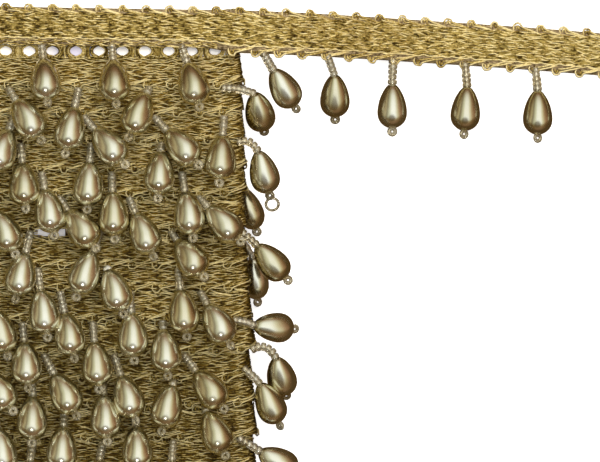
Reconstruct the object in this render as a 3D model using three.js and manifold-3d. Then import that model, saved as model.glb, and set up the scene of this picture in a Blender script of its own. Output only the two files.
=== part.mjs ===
// Roll of beaded lace trim: gold braid wound flat, its turns hung with teardrop pearls, and its last half
// turn leaving the top of the roll as a loose end. Millimetres, +Z up: the roll lies on its back, and +Y is
// its upper edge.
import * as THREE from "three";
import { mergeVertices } from "three/addons/utils/BufferGeometryUtils.js";
import Module from "manifold-3d";

const wasm = await Module();
wasm.setup();

// Clearance between two pieces, and under the pearls that lie on a face
const GAP = 0.3;
const PEARL_CLEARANCE = 0.55;

// The braid
const BRAID_WIDTH = 8.2;
const BRAID_THICKNESS = 1.4;
const PICOT_PITCH = 6.37;
const PICOT_REACH = 1;
const PICOT_WIDTH = 2.4;

// The drops: a string of seed beads, a teardrop pearl and an end bead
const DROP_PITCH = 3 * PICOT_PITCH;
const STRING_LENGTH = 5.4;
const STRING_RADIUS = 0.7;
const NECK_RADIUS = 1.3;
const PEARL_RADIUS = 4;
const PEARL_LENGTH = 12;
const PEARL_WIDEST = 7.8;
const PEARL_TAIL = 3.2;
const END_BEAD_RADIUS = 1.2;
const END_BEAD_LENGTH = 1.7;
const STRING_SIDES = 4;
const FRONT_PEARL_SIDES = 6;
const BACK_PEARL_SIDES = 4;

// The roll
const ROLL_WIDTH = 104;
const ROLL_THICKNESS = 9;
const ROLL_EDGE_RADIUS = 3;
const LAP_LENGTH = 6.4;
const LAST_STEP = 8.2;

// The border strip that carries a turn's drops
const STRIP_WIDTH = 1;
const STRIP_THICKNESS = 0.8;
const STRIP_LEFT_INSET = 3;
const STRIP_RIGHT_INSET = 0.8;
const KNOT_WIDTH = 1.4;
// A string drawn up by more than this leaves its strip and needs a knot
const KNOT_FROM = 1;

// The loose end, measured from the roll's right edge. On the roll it runs a little uphill to the left, and
// where it leaves the roll it spreads, so that its lower edge comes down by the spread.
const LOOSE_LENGTH = 108;
const LOOSE_START = 3;
const LOOSE_RISE = 0.4;
const LOOSE_SLOPE = 0.016;
const LOOSE_SPREAD = 2.1;
const SPREAD_LENGTH = 12;
const DESCENT_LENGTH = 60;
const DROOP_SLOPE = 0.03;
const DROOP_CURVE = 0.00028;

// The turns of the front face, from the top. step: from the lower edge above to this lower edge. right and
// left: how far the turn stands out past the roll's plain sides. first: from the right side to the first
// drop. lean: each drop's lean to the right of straight down, in degrees. up: how far its string is drawn up,
// or below 0 how far it is let out.
const TURNS = [
  { step: 8.2, right: -0.3, left: 0.4, first: 17.2, lean: [16, 5, 7, 1, 4], up: [0, 1, 1.3, 1, 1] },
  { step: 12.0, right: -0.5, left: 0.0, first: 26.2, lean: [-22, -11, 33, -13], up: [3.9, 0, 1.4, 0] },
  { step: 7.6, right: -0.4, left: -0.4, first: 5.7, lean: [-4, 43, 41, -18, 36], up: [0, 0, 0.6, 1.4, 0.6] },
  { step: 7.4, right: 0.0, left: 0.5, first: 22.8, lean: [-3, -3, 5, -7, -7], up: [3.1, 0.2, 0, 0, 0] },
  { step: 7.9, right: 0.3, left: 0.9, first: 17.2, lean: [10, 3, 12, 4, 5], up: [0, 0, 0.6, 0, 0] },
  { step: 6.8, right: 0.5, left: 0.3, first: 12.5, lean: [44, 23, 37, 26, 28], up: [1.7, 0.7, 0.8, 1.1, 0.9] },
  { step: 9.3, right: 0.5, left: -0.2, first: 20.2, lean: [37, -20, -12, -15, -15], up: [2.4, -0.6, -0.6, 0, 0] },
  { step: 10.1, right: 0.8, left: 0.6, first: 18.3, lean: [8, 20, 9, 11, 7], up: [-0.4, 5.2, -0.6, 0, 0] },
  { step: 6.3, right: 1.4, left: 1.2, first: 12.2, lean: [30, 4, 13, 16, 15], up: [1.4, -0.4, -0.6, 0.1, 0] },
  { step: 8.4, right: 1.9, left: 0.8, first: 22.4, lean: [6, 6, 6, 5, 5], up: [3.6, 0.1, 0.1, 0, 0] },
  { step: 8.7, right: 3.0, left: 1.6, first: 16.6, lean: [37, 19, 29, 36, 24], up: [-0.3, -0.8, -0.8, -0.8, 0] },
  { step: 7.6, right: 1.9, left: 1.1, first: 19.6, lean: [-13, 5, 0, 0, -5], up: [4.8, 2, 1.6, 1.5, 1.5] },
  { step: 6.9, right: 2.7, left: 1.9, first: 10.9, lean: [24, 4, -3, 10, 5], up: [4.2, 0.2, 0.2, -0.3, 0] },
  { step: 9.0, right: 3.3, left: 1.4, first: 19.6, lean: [-3, -9, -6, -6, -6], up: [0, 0, 0, 0, 0] },
  { step: 8.2, right: 2.9, left: 2.2, first: 8.0, lean: [-4, -5, -3, -6, -2], up: [0, 0, 0, 0, 0] },
  { step: 8.2, right: 3.1, left: 1.8, first: 15.5, lean: [-2, -5, -7, -4, -6], up: [0, 0, 0, 0, 0] },
];

// Drops that hang past the right side. root: where the string starts, out and neck_down: where the pearl
// starts, from the roll's right side and below the turn's lower edge. lean and dip: the pearl's, in degrees.
const SIDE_DROPS = [
  { turn: 2, root: -6.3, out: 2.5, neck_down: 1.9, lean: 22, dip: 6 },
  { turn: 4, root: -2.2, out: 3.8, neck_down: 2.5, lean: 15, dip: 16 },
  { turn: 7, root: -1.1, out: 3.3, neck_down: 3.8, lean: 42, dip: 12 },
  { turn: 10, root: -3.3, out: 2.7, neck_down: 1.0, lean: 85, dip: 32 },
  { turn: 11, root: 1.6, out: 8.5, neck_down: 2.5, lean: 15, dip: 34 },
  { turn: 12, root: -0.3, out: 4.6, neck_down: 1.6, lean: 25, dip: 6 },
  { turn: 14, root: -0.3, out: 4.9, neck_down: 3.0, lean: 60, dip: 20 },
];
const SIDE_STRING_FALL = 0.9;

// Drops of the loose end. along: from the roll's right side. string: its string's length. string_lean and
// pearl_lean: to the right of straight down, in degrees. dip: how steeply the drop hangs, in degrees, or null
// where its pearl lies on the surface.
const LOOSE_DROPS = [
  { along: 4.8, string: 6.2, string_lean: 30, pearl_lean: 31, dip: 20 },
  { along: 22.4, string: 6.5, string_lean: 20, pearl_lean: 1, dip: 22 },
  { along: 40.6, string: 8.0, string_lean: -2, pearl_lean: 0, dip: null },
  { along: 60.5, string: 7.2, string_lean: 4, pearl_lean: -4, dip: null },
  { along: 79.9, string: 6.9, string_lean: 4, pearl_lean: 0, dip: null },
  { along: 100.1, string: 6.9, string_lean: 10, pearl_lean: 14, dip: null },
];

// Back drops: a plain run of each turn, each turn set on from the last by one part of the spacing
const BACK_DROPS_PER_TURN = 5;
const BACK_FIRST = 8;
const BACK_STAGGER_PARTS = 3;
const BACK_LEAN = 1.5;
const BACK_LEAN_STEP = 2.4;
// The turns whose last back drop shows past the roll's right side, that drop's lean, in degrees, and how far
// its string is drawn up. Their strips reach further round the edge than the others.
const PEEKING = [
  { turn: 4, lean: 26, up: 0 },
  { turn: 6, lean: 27, up: -0.8 },
];
const PEEK_STRIP_INSET = 0.8;
const PEEK_INSET = 0.9;

// Points closer than this are one point
const MERGE_DISTANCE = 1e-4;

const degrees = THREE.MathUtils.degToRad;
const halfWidth = ROLL_WIDTH / 2;
const halfThickness = ROLL_THICKNESS / 2;

const braidGold = new THREE.MeshStandardMaterial({ color: 0x96793c, roughness: 0.5, metalness: 0.6 });
const pearlChampagne = new THREE.MeshStandardMaterial({ color: 0xaaa078, roughness: 0.25, metalness: 0.5 });

// A closed solid from a geometry, its shared points merged and its empty triangles left out
function solidOf(geometry) {
  geometry.deleteAttribute("normal");
  geometry.deleteAttribute("uv");
  const merged = mergeVertices(geometry, MERGE_DISTANCE);
  const triangles = [];
  for (let i = 0; i < merged.index.count; i += 3) {
    const corners = [0, 1, 2].map((corner) => merged.index.getX(i + corner));
    if (new Set(corners).size === 3) triangles.push(...corners);
  }
  const mesh = new wasm.Mesh({
    numProp: 3,
    vertProperties: new Float32Array(merged.attributes.position.array),
    triVerts: new Uint32Array(triangles),
  });
  return new wasm.Manifold(mesh);
}

function joined(solids) {
  return solids.reduce((whole, solid) => whole.add(solid));
}

function meshOf(name, solid, material) {
  const { vertProperties, triVerts } = solid.getMesh();
  const geometry = new THREE.BufferGeometry();
  geometry.setAttribute("position", new THREE.BufferAttribute(vertProperties, 3));
  geometry.setIndex(new THREE.BufferAttribute(triVerts, 1));
  geometry.computeVertexNormals();
  const mesh = new THREE.Mesh(geometry, material);
  mesh.name = name;
  return mesh;
}

// A geometry from flat arrays of points and triangles
function geometryOf(points, triangles) {
  const geometry = new THREE.BufferGeometry();
  const positions = points.flatMap((point) => point.toArray());
  geometry.setAttribute("position", new THREE.Float32BufferAttribute(positions, 3));
  geometry.setIndex(triangles);
  return geometry;
}

// A closed skin over rings of points, each ring anticlockwise as seen from the far end
function loftOf(rings) {
  const count = rings[0].length;
  const last = (rings.length - 1) * count;
  const triangles = [];
  for (let ring = 0; ring < last; ring += count) {
    for (let i = 0; i < count; i++) {
      const near = ring + i;
      const next = ring + ((i + 1) % count);
      triangles.push(near, next, next + count, near, next + count, near + count);
    }
  }
  for (let i = 1; i < count - 1; i++) {
    triangles.push(0, i + 1, i, last, last + i, last + i + 1);
  }
  return geometryOf(rings.flat(), triangles);
}

// How much larger a polygon's corner radius is than the radius of the circle with the same area
function cornerScale(sides) {
  return Math.sqrt((2 * Math.PI) / (sides * Math.sin((2 * Math.PI) / sides)));
}

// Sizes of a pearl with so many flat sides: the flats' distance from its axis at the neck and at its widest,
// the slope of its cone, and how high its axis lies at the neck when a flat of the cone lies on a surface
function pearlForm(sides) {
  const flat = cornerScale(sides) * Math.cos(Math.PI / sides);
  const neck = NECK_RADIUS * flat;
  const widest = PEARL_RADIUS * flat;
  const slope = Math.atan2(widest - neck, PEARL_WIDEST);
  return { flat, neck, widest, slope, neckHeight: neck * Math.cos(slope) };
}

// The pearl and its end bead along +Y from the neck, with a flat side towards -Z. The tail behind the widest
// ring slopes as the cone does, so a pearl that lies on its cone has a level flat on its other side.
function pearlProfile(sides) {
  const form = pearlForm(sides);
  const tailRadius = PEARL_RADIUS - (PEARL_TAIL * Math.tan(form.slope)) / form.flat;
  return [
    [NECK_RADIUS, 0],
    [PEARL_RADIUS, PEARL_WIDEST],
    [tailRadius, PEARL_WIDEST + PEARL_TAIL],
    [END_BEAD_RADIUS, PEARL_LENGTH + END_BEAD_LENGTH / 2],
    [0, PEARL_LENGTH + END_BEAD_LENGTH],
  ];
}

function latheOf(profile, sides) {
  const scale = cornerScale(sides);
  const points = profile.map(([radius, along]) => new THREE.Vector2(radius * scale, along));
  return new THREE.LatheGeometry(points, sides, Math.PI / sides);
}

// Turns +Y to a direction that leans to the right of straight down and rises towards +Z, and moves it to a
// point
function hungAt(geometry, place, lean, rise) {
  const turn = new THREE.Euler(degrees(rise), 0, Math.PI + degrees(lean), "ZXY");
  const matrix = new THREE.Matrix4().makeRotationFromEuler(turn).setPosition(place);
  return geometry.applyMatrix4(matrix);
}

// The unit vector that leans to the right of straight down and dips below level
function downward(lean, dip) {
  const across = Math.cos(degrees(dip));
  return new THREE.Vector3(
    Math.sin(degrees(lean)) * across,
    -Math.cos(degrees(lean)) * across,
    -Math.sin(degrees(dip)),
  );
}

// A straight drop of a face: string, pearl and end bead on one axis, which rises so that the pearl's cone
// lies along the face. z = 0 is the level of the turns' lower edges.
function straightDrop(x, y, lean, drawnUp, sides) {
  const form = pearlForm(sides);
  const stringLength = STRING_LENGTH - drawnUp;
  const profile = [
    [0, 0],
    [STRING_RADIUS, 0],
    ...pearlProfile(sides).map(([radius, along]) => [radius, along + stringLength]),
  ];
  const height = PEARL_CLEARANCE + form.neckHeight - stringLength * Math.sin(form.slope);
  const root = new THREE.Vector3(x, y, height);
  const hung = hungAt(latheOf(profile, sides), root, lean, THREE.MathUtils.radToDeg(form.slope));
  return { solid: solidOf(hung), root };
}

// The knot that ties a string down to its strip
function knotAt(root) {
  const foot = -STRIP_THICKNESS / 2;
  const head = root.z + STRING_RADIUS;
  const box = new THREE.BoxGeometry(KNOT_WIDTH, STRIP_WIDTH, head - foot);
  return solidOf(box.translate(root.x, root.y, (head + foot) / 2));
}

// A drop with a bend at its neck: a string from its root to the neck, and the pearl in a direction of its own
function bentDrop(root, neck, lean, rise, sides) {
  const along = neck.clone().sub(root);
  const string = new THREE.CylinderGeometry(STRING_RADIUS, STRING_RADIUS, along.length(), STRING_SIDES);
  const heading = along.clone().normalize();
  string.applyQuaternion(new THREE.Quaternion().setFromUnitVectors(THREE.Object3D.DEFAULT_UP, heading));
  const middle = root.clone().lerp(neck, 0.5);
  string.translate(middle.x, middle.y, middle.z);
  const profile = [[0, 0], ...pearlProfile(sides)];
  const pearl = hungAt(latheOf(profile, sides), neck, lean, rise);
  return solidOf(string).add(solidOf(pearl));
}

// The lower edge of each turn of the front, below the roll's upper edge, from the upper edge itself to one
// turn past the last, where the last turn ends on the back
const lowerEdges = [0];
TURNS.forEach(({ step }) => lowerEdges.push(lowerEdges.at(-1) - step));
lowerEdges.push(lowerEdges.at(-1) - LAST_STEP);

// Points round one turn, from the right side over the front to the left side and back over the back. drawnIn:
// how far the ring lies inside the turn's proud edge.
function ringOf(turn, drawnIn) {
  const { right, left } = TURNS[Math.min(turn, TURNS.length - 1)];
  const reach = halfThickness - drawnIn - ROLL_EDGE_RADIUS;
  const centres = [
    [halfWidth + right - drawnIn - ROLL_EDGE_RADIUS, reach],
    [-halfWidth - left + drawnIn + ROLL_EDGE_RADIUS, reach],
    [-halfWidth - left + drawnIn + ROLL_EDGE_RADIUS, -reach],
    [halfWidth + right - drawnIn - ROLL_EDGE_RADIUS, -reach],
  ];
  return centres.flatMap(([x, z], corner) =>
    [0, 0.5, 1].map((part) => {
      const angle = ((corner + part) * Math.PI) / 2;
      return [x + ROLL_EDGE_RADIUS * Math.cos(angle), z + ROLL_EDGE_RADIUS * Math.sin(angle)];
    }),
  );
}

// The wound form as one screw-like skin: every turn rises from the step under the turn above to its own proud
// lower edge, runs level over the front and shifts down to the next turn over the back
function woundRoll() {
  const perTurn = ringOf(0, 0).length;
  const columns = TURNS.length * perTurn;
  const levels = 3;
  const points = [];
  for (let column = 0; column <= columns; column++) {
    const turn = Math.floor(column / perTurn);
    const place = column % perTurn;
    const [inner, outer] = [BRAID_THICKNESS, 0].map((drawnIn) => ringOf(turn, drawnIn)[place]);
    const onBack = outer[1] < 0;
    const shift = onBack ? (outer[0] + halfWidth) / ROLL_WIDTH : 0;
    const shifted = THREE.MathUtils.clamp(shift, 0, 1);
    const [above, below] = [turn, turn + 1].map((edge) => {
      const next = lowerEdges[Math.min(edge + 1, lowerEdges.length - 1)];
      return THREE.MathUtils.lerp(lowerEdges[edge], next, shifted);
    });
    const rise = Math.min(above - STRIP_WIDTH, below + LAP_LENGTH);
    points.push(
      new THREE.Vector3(inner[0], above, inner[1]),
      new THREE.Vector3(inner[0], rise, inner[1]),
      new THREE.Vector3(outer[0], below, outer[1]),
    );
  }
  const at = (column, level) => column * levels + level;
  const triangles = [];
  const quad = (a, b, c, d) => triangles.push(a, b, c, a, c, d);
  for (let column = 0; column < columns; column++) {
    quad(at(column, 0), at(column + 1, 0), at(column + 1, 1), at(column, 1));
    quad(at(column, 1), at(column + 1, 1), at(column + 1, 2), at(column, 2));
    const below = column + perTurn;
    if (below < columns) quad(at(column, 2), at(column + 1, 2), at(below + 1, 0), at(below, 0));
  }
  const firstLoop = [at(perTurn, 0), at(0, 2), at(0, 1)];
  const lastLoop = [at(columns, 2), at(columns, 1), at(columns, 0)];
  for (let place = 0; place < perTurn; place++) {
    firstLoop.push(at(place, 0));
    lastLoop.push(at(columns - perTurn + place, 2));
  }
  const top = points.push(new THREE.Vector3(0, lowerEdges[0] - GAP, 0)) - 1;
  const bottom = points.push(new THREE.Vector3(0, lowerEdges.at(-2) - GAP, 0)) - 1;
  firstLoop.forEach((point, i) => triangles.push(top, firstLoop[(i + 1) % firstLoop.length], point));
  lastLoop.forEach((point, i) => triangles.push(bottom, point, lastLoop[(i + 1) % lastLoop.length]));
  return solidOf(geometryOf(points, triangles));
}

// A strip along one turn of a face, just below the turn's lower edge, level with that edge
function stripSolid(fromX, toX, slope) {
  const strip = new THREE.BoxGeometry(toX - fromX, STRIP_WIDTH, STRIP_THICKNESS);
  strip.translate((fromX + toX) / 2, 0, -STRIP_THICKNESS / 2);
  return solidOf(strip.applyMatrix4(new THREE.Matrix4().makeRotationZ(slope)));
}

// The border of one front turn: its strip and all its drops, placed from the turn's lower edge
function frontDrops(index) {
  const { right, left, first, lean, up } = TURNS[index];
  const pieces = [stripSolid(STRIP_LEFT_INSET - halfWidth - left, halfWidth + right - STRIP_RIGHT_INSET, 0)];
  lean.forEach((angle, place) => {
    const x = halfWidth - first - place * DROP_PITCH;
    const { solid, root } = straightDrop(x, 0, angle, up[place], FRONT_PEARL_SIDES);
    pieces.push(solid);
    if (up[place] > KNOT_FROM) pieces.push(knotAt(root));
  });
  SIDE_DROPS.filter(({ turn }) => turn === index + 1).forEach(({ root, out, neck_down, lean, dip }) => {
    const start = new THREE.Vector3(halfWidth + root, 0, STRING_RADIUS / 2);
    const neck = new THREE.Vector3(halfWidth + out, -neck_down, start.z - SIDE_STRING_FALL);
    pieces.push(bentDrop(start, neck, lean, -dip, FRONT_PEARL_SIDES));
  });
  return joined(pieces);
}

// The border of one turn over the back, seen from the back, where the turn runs down to the left
function backDrops(index) {
  const fall = lowerEdges[index + 2] - lowerEdges[index + 1];
  const slope = Math.atan2(-fall, ROLL_WIDTH);
  const peek = PEEKING.find(({ turn }) => turn === index + 1);
  const start = -halfWidth + STRIP_RIGHT_INSET + (peek ? PEEK_STRIP_INSET : ROLL_EDGE_RADIUS);
  const pieces = [stripSolid(start, halfWidth - STRIP_LEFT_INSET, slope)];
  const first = BACK_FIRST + ((index % BACK_STAGGER_PARTS) * DROP_PITCH) / BACK_STAGGER_PARTS;
  for (let place = 0; place < BACK_DROPS_PER_TURN; place++) {
    const x = halfWidth - first - place * DROP_PITCH;
    if (x < start + PEARL_RADIUS || (peek && x < start + DROP_PITCH)) continue;
    const lean = BACK_LEAN * Math.sin(BACK_LEAN_STEP * (index + place));
    pieces.push(straightDrop(x, x * Math.tan(slope), lean, 0, BACK_PEARL_SIDES).solid);
  }
  if (peek) {
    const x = start + PEEK_INSET;
    pieces.push(straightDrop(x, x * Math.tan(slope), -peek.lean, peek.up, BACK_PEARL_SIDES).solid);
  }
  return joined(pieces);
}

// The height of a face's pearls above its turns' lower edges
function levelOf(sides) {
  const form = pearlForm(sides);
  const axisHeight = PEARL_CLEARANCE + form.neckHeight + PEARL_WIDEST * Math.sin(form.slope);
  return axisHeight + form.widest * Math.cos(form.slope);
}

const backLevel = levelOf(BACK_PEARL_SIDES);
const frontLevel = backLevel + ROLL_THICKNESS;
const looseTop = frontLevel + GAP + BRAID_THICKNESS / 2;

// The line of the loose end's upper edge: how far its middle layer lies above the surface, how far it rises
// to the left on the roll, and how far it droops past the roll
function looseLine(along) {
  const descent = THREE.MathUtils.smoothstep(along, 0, DESCENT_LENGTH);
  const out = Math.max(along, 0);
  const rise = LOOSE_RISE - LOOSE_SLOPE * Math.min(along, 0);
  const droop = DROOP_SLOPE * out + DROOP_CURVE * out * out;
  const height = THREE.MathUtils.lerp(looseTop, BRAID_THICKNESS / 2, descent);
  return new THREE.Vector3(halfWidth + along, rise - droop, height);
}

// The loose end's lower edge, from its upper edge: it has its whole spread where its border begins
function looseLowEdge(along) {
  const spread = THREE.MathUtils.smoothstep(along, -STRIP_RIGHT_INSET - SPREAD_LENGTH, -STRIP_RIGHT_INSET);
  return -BRAID_WIDTH - LOOSE_SPREAD * spread;
}

// A band of the loose end between two edges, given as functions of the place along it
function looseBand(stations, lowEdge, highEdge) {
  const step = 0.1; // half the span over which the line's direction is taken
  const rings = stations.map((along) => {
    const place = looseLine(along);
    const ahead = looseLine(along + step).sub(looseLine(along - step));
    const normal = new THREE.Vector3(-ahead.z, 0, ahead.x).setLength(BRAID_THICKNESS / 2);
    const [low, high] = [lowEdge(along), highEdge(along)].map((y) => place.clone().setY(place.y + y));
    const under = [low, high].map((edge) => edge.clone().sub(normal));
    const over = [high, low].map((edge) => edge.clone().add(normal));
    return [...under, ...over];
  });
  return solidOf(loftOf(rings));
}

// Stations at the foot and tip of every picot between two places
function picotStations(from, to) {
  const stations = [];
  for (let middle = from + PICOT_PITCH / 2; middle < to - PICOT_WIDTH; middle += PICOT_PITCH) {
    stations.push(middle - PICOT_WIDTH / 2, middle, middle + PICOT_WIDTH / 2);
  }
  return [from, ...stations, to];
}

// How far a picot stands out at a place
function picotAt(stations, along) {
  const place = stations.indexOf(along);
  const isTip = place > 0 && place < stations.length - 1 && place % 3 === 2;
  return isTip ? PICOT_REACH : 0;
}

function looseEnd() {
  const stations = picotStations(LOOSE_START - ROLL_WIDTH, LOOSE_LENGTH);
  const upper = (along) => picotAt(stations, along);
  return looseBand(stations, looseLowEdge, upper);
}

// The loose end's lower border with its picots and drops, from the roll's right side to the cut end
function looseEndDrops() {
  const stations = picotStations(-STRIP_RIGHT_INSET, LOOSE_LENGTH);
  const upper = (along) => looseLowEdge(along) - GAP;
  const lower = (along) => upper(along) - STRIP_WIDTH - picotAt(stations, along);
  const pieces = [looseBand(stations, lower, upper)];
  const form = pearlForm(FRONT_PEARL_SIDES);
  LOOSE_DROPS.forEach(({ along, string, string_lean, pearl_lean, dip }) => {
    const root = looseLine(along);
    root.y += upper(along) - STRIP_WIDTH / 2;
    const lies = dip === null;
    const fall = lies ? root.z - form.neckHeight : string * Math.sin(degrees(dip));
    const stringDip = THREE.MathUtils.radToDeg(Math.asin(fall / string));
    const neck = downward(string_lean, stringDip).multiplyScalar(string).add(root);
    const rise = lies ? THREE.MathUtils.radToDeg(form.slope) : -dip;
    pieces.push(bentDrop(root, neck, pearl_lean, rise, FRONT_PEARL_SIDES));
  });
  return joined(pieces);
}

const twoDigits = (index) => String(index + 1).padStart(2, "0");
const trim = new THREE.Group();
const roll = meshOf("wound_roll", woundRoll(), braidGold);
roll.position.z = backLevel + halfThickness;
trim.add(roll);
trim.add(meshOf("loose_end", looseEnd(), braidGold));
trim.add(meshOf("loose_end_drops", looseEndDrops(), pearlChampagne));

const frontFace = new THREE.Group();
frontFace.position.z = frontLevel;
const backFace = new THREE.Group();
backFace.position.z = backLevel;
backFace.rotation.y = Math.PI;
trim.add(frontFace, backFace);
TURNS.forEach((_, index) => {
  const below = GAP + STRIP_WIDTH / 2;
  const front = meshOf(`front_drops_${twoDigits(index)}`, frontDrops(index), pearlChampagne);
  front.position.y = lowerEdges[index + 1] - below;
  frontFace.add(front);
  const back = meshOf(`back_drops_${twoDigits(index)}`, backDrops(index), pearlChampagne);
  back.position.y = (lowerEdges[index + 1] + lowerEdges[index + 2]) / 2 - below;
  backFace.add(back);
});

// The part's origin is the middle of the underside of everything
const box = new THREE.Box3().setFromObject(trim);
const middle = box.getCenter(new THREE.Vector3());
trim.position.set(-middle.x, -middle.y, -box.min.z);
const group = new THREE.Group();
group.add(trim);

export default group;
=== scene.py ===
# %% [markdown]
# # A roll of beaded lace trim
#
# Gold metallic braid is wound flat, turn beside turn, and every turn is hung with teardrop pearls on
# short strings of seed beads. The last half turn leaves the top of the roll as a loose end. The packed
# solids give the place and size of everything, and this lesson dresses them: real strands on the braid,
# round pearls, glass beads, finishes, light and a camera. All lengths are in millimetres until a mesh
# is made.

import bpy
import numpy as np
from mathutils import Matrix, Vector


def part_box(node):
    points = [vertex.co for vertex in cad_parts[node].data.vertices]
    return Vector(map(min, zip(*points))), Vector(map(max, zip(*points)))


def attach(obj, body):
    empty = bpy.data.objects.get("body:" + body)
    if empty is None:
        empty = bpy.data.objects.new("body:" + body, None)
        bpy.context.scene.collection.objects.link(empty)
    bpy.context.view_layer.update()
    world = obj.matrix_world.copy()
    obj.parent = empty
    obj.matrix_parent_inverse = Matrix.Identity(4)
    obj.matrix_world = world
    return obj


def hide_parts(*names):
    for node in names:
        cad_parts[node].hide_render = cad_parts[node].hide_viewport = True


MM = 0.001
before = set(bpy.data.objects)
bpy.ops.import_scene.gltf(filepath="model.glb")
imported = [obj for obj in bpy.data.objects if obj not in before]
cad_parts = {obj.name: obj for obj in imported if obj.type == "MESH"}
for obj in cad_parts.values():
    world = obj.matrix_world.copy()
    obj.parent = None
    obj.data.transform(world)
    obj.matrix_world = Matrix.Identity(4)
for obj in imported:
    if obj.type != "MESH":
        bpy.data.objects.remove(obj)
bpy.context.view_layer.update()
print("solids in the frame:", len(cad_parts))

# %% [markdown]
# ## The sizes of the trim
#
# The braid is a narrow tape with a small loop, a picot, at even steps along both edges, and a drop
# hangs from every third picot. The drops could be found again on the solids, but each leans its own
# way, so the table repeats the values that the solids were made from. Its rows are the turns of the
# front in the order in which a winder would lay them, and every strand and pearl falls where its solid
# is.

# %% Sizes of the braid, the roll and the drops
BRAID_WIDTH = 8.2
BRAID_THICKNESS = 1.4
PICOT_PITCH = 6.37
DROP_PITCH = 3 * PICOT_PITCH
ROLL_HALF_WIDTH = 52
ROLL_HALF_THICKNESS = 4.5
ROLL_EDGE_RADIUS = 3
LAP_LENGTH = 6.4
LAP_DEPTH = 1.0
STRING_LENGTH = 5.4
PEARL_LENGTH = 12
PEARL_RADIUS = 4
# from a turn's lower edge down to where its drops hang
BELOW_EDGE = 0.8

# step: from the lower edge above to this lower edge; right and left: how far the turn stands out past
# the roll's plain sides; first: from the right side to the first drop; lean: each drop's lean to the
# right, in degrees; up: how far each string is drawn up, or let out where it is below 0
TURN_COLUMNS = ("step", "right", "left", "first", "lean", "up")
TURN_ROWS = [
    (8.2, -0.3, 0.4, 17.2, (16, 5, 7, 1, 4), (0, 1, 1.3, 1, 1)),
    (12.0, -0.5, 0.0, 26.2, (-22, -11, 33, -13), (3.9, 0, 1.4, 0)),
    (7.6, -0.4, -0.4, 5.7, (-4, 43, 41, -18, 36), (0, 0, 0.6, 1.4, 0.6)),
    (7.4, 0.0, 0.5, 22.8, (-3, -3, 5, -7, -7), (3.1, 0.2, 0, 0, 0)),
    (7.9, 0.3, 0.9, 17.2, (10, 3, 12, 4, 5), (0, 0, 0.6, 0, 0)),
    (6.8, 0.5, 0.3, 12.5, (44, 23, 37, 26, 28), (1.7, 0.7, 0.8, 1.1, 0.9)),
    (9.3, 0.5, -0.2, 20.2, (37, -20, -12, -15, -15), (2.4, -0.6, -0.6, 0, 0)),
    (10.1, 0.8, 0.6, 18.3, (8, 20, 9, 11, 7), (-0.4, 5.2, -0.6, 0, 0)),
    (6.3, 1.4, 1.2, 12.2, (30, 4, 13, 16, 15), (1.4, -0.4, -0.6, 0.1, 0)),
    (8.4, 1.9, 0.8, 22.4, (6, 6, 6, 5, 5), (3.6, 0.1, 0.1, 0, 0)),
    (8.7, 3.0, 1.6, 16.6, (37, 19, 29, 36, 24), (-0.3, -0.8, -0.8, -0.8, 0)),
    (7.6, 1.9, 1.1, 19.6, (-13, 5, 0, 0, -5), (4.8, 2, 1.6, 1.5, 1.5)),
    (6.9, 2.7, 1.9, 10.9, (24, 4, -3, 10, 5), (4.2, 0.2, 0.2, -0.3, 0)),
    (9.0, 3.3, 1.4, 19.6, (-3, -9, -6, -6, -6), (0, 0, 0, 0, 0)),
    (8.2, 2.9, 2.2, 8.0, (-4, -5, -3, -6, -2), (0, 0, 0, 0, 0)),
    (8.2, 3.1, 1.8, 15.5, (-2, -5, -7, -4, -6), (0, 0, 0, 0, 0)),
]
# the last step down, across the back below the lowest turn
LAST_STEP = 8.2
turns = [dict(zip(TURN_COLUMNS, row)) for row in TURN_ROWS]
print("turns of the front:", len(turns))

# %% Where the roll lies in the frame
roll_low, roll_high = (np.array(corner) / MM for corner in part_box("wound_roll"))
front_level = roll_high[2]
back_level = roll_low[2]
roll_top = roll_high[1]
roll_middle_x = roll_high[0] - max(turn["right"] for turn in turns) - ROLL_HALF_WIDTH
roll_middle_z = (front_level + back_level) / 2
roll_right_x = roll_middle_x + ROLL_HALF_WIDTH
steps_down = [turn["step"] for turn in turns] + [LAST_STEP]
lower_edges = roll_top - np.cumsum(steps_down)
print("roll's right side at x =", round(roll_right_x, 2), "and its front at z =", round(front_level, 2))

# %% [markdown]
# ## A map of the winding
#
# The tape runs round the roll like the thread of a screw: level across the front, and down to the next
# turn across the back. Strands could be bound to a curve with a modifier, but it is easier to draw them
# on the flat tape and to let one function wind them on. A place along the tape, a place across it and a
# height above it become a point in space and the direction that faces outwards there.

# %% The roll's outline
CORNER_POINTS = 9


def rounded_section():
    """The roll's outline from its right side over the front and round: x, z and the outward direction."""
    inner_x = ROLL_HALF_WIDTH - ROLL_EDGE_RADIUS
    inner_z = ROLL_HALF_THICKNESS - ROLL_EDGE_RADIUS
    quarter = np.linspace(0, np.pi / 2, CORNER_POINTS)
    right_side = [(ROLL_HALF_WIDTH, 0, 1, 0)]
    rows = [right_side]
    for corner, (sign_x, sign_z) in enumerate([(1, 1), (-1, 1), (-1, -1), (1, -1)]):
        out_x = np.cos(quarter + corner * np.pi / 2)
        out_z = np.sin(quarter + corner * np.pi / 2)
        x = sign_x * inner_x + ROLL_EDGE_RADIUS * out_x
        z = sign_z * inner_z + ROLL_EDGE_RADIUS * out_z
        rows.append(np.stack([x, z, out_x, out_z], axis=-1))
    rows.append(right_side)
    return np.concatenate(rows)


section = rounded_section()
section_along = np.concatenate([[0], np.cumsum(np.hypot(*np.diff(section[:, :2], axis=0).T))])
ROUND = section_along[-1]
FRONT_FROM = section_along[CORNER_POINTS]
BACK_FROM = section_along[3 * CORNER_POINTS]
BACK_TO = section_along[3 * CORNER_POINTS + 1]
print("tape in one turn:", round(ROUND, 1), "mm")

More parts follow.
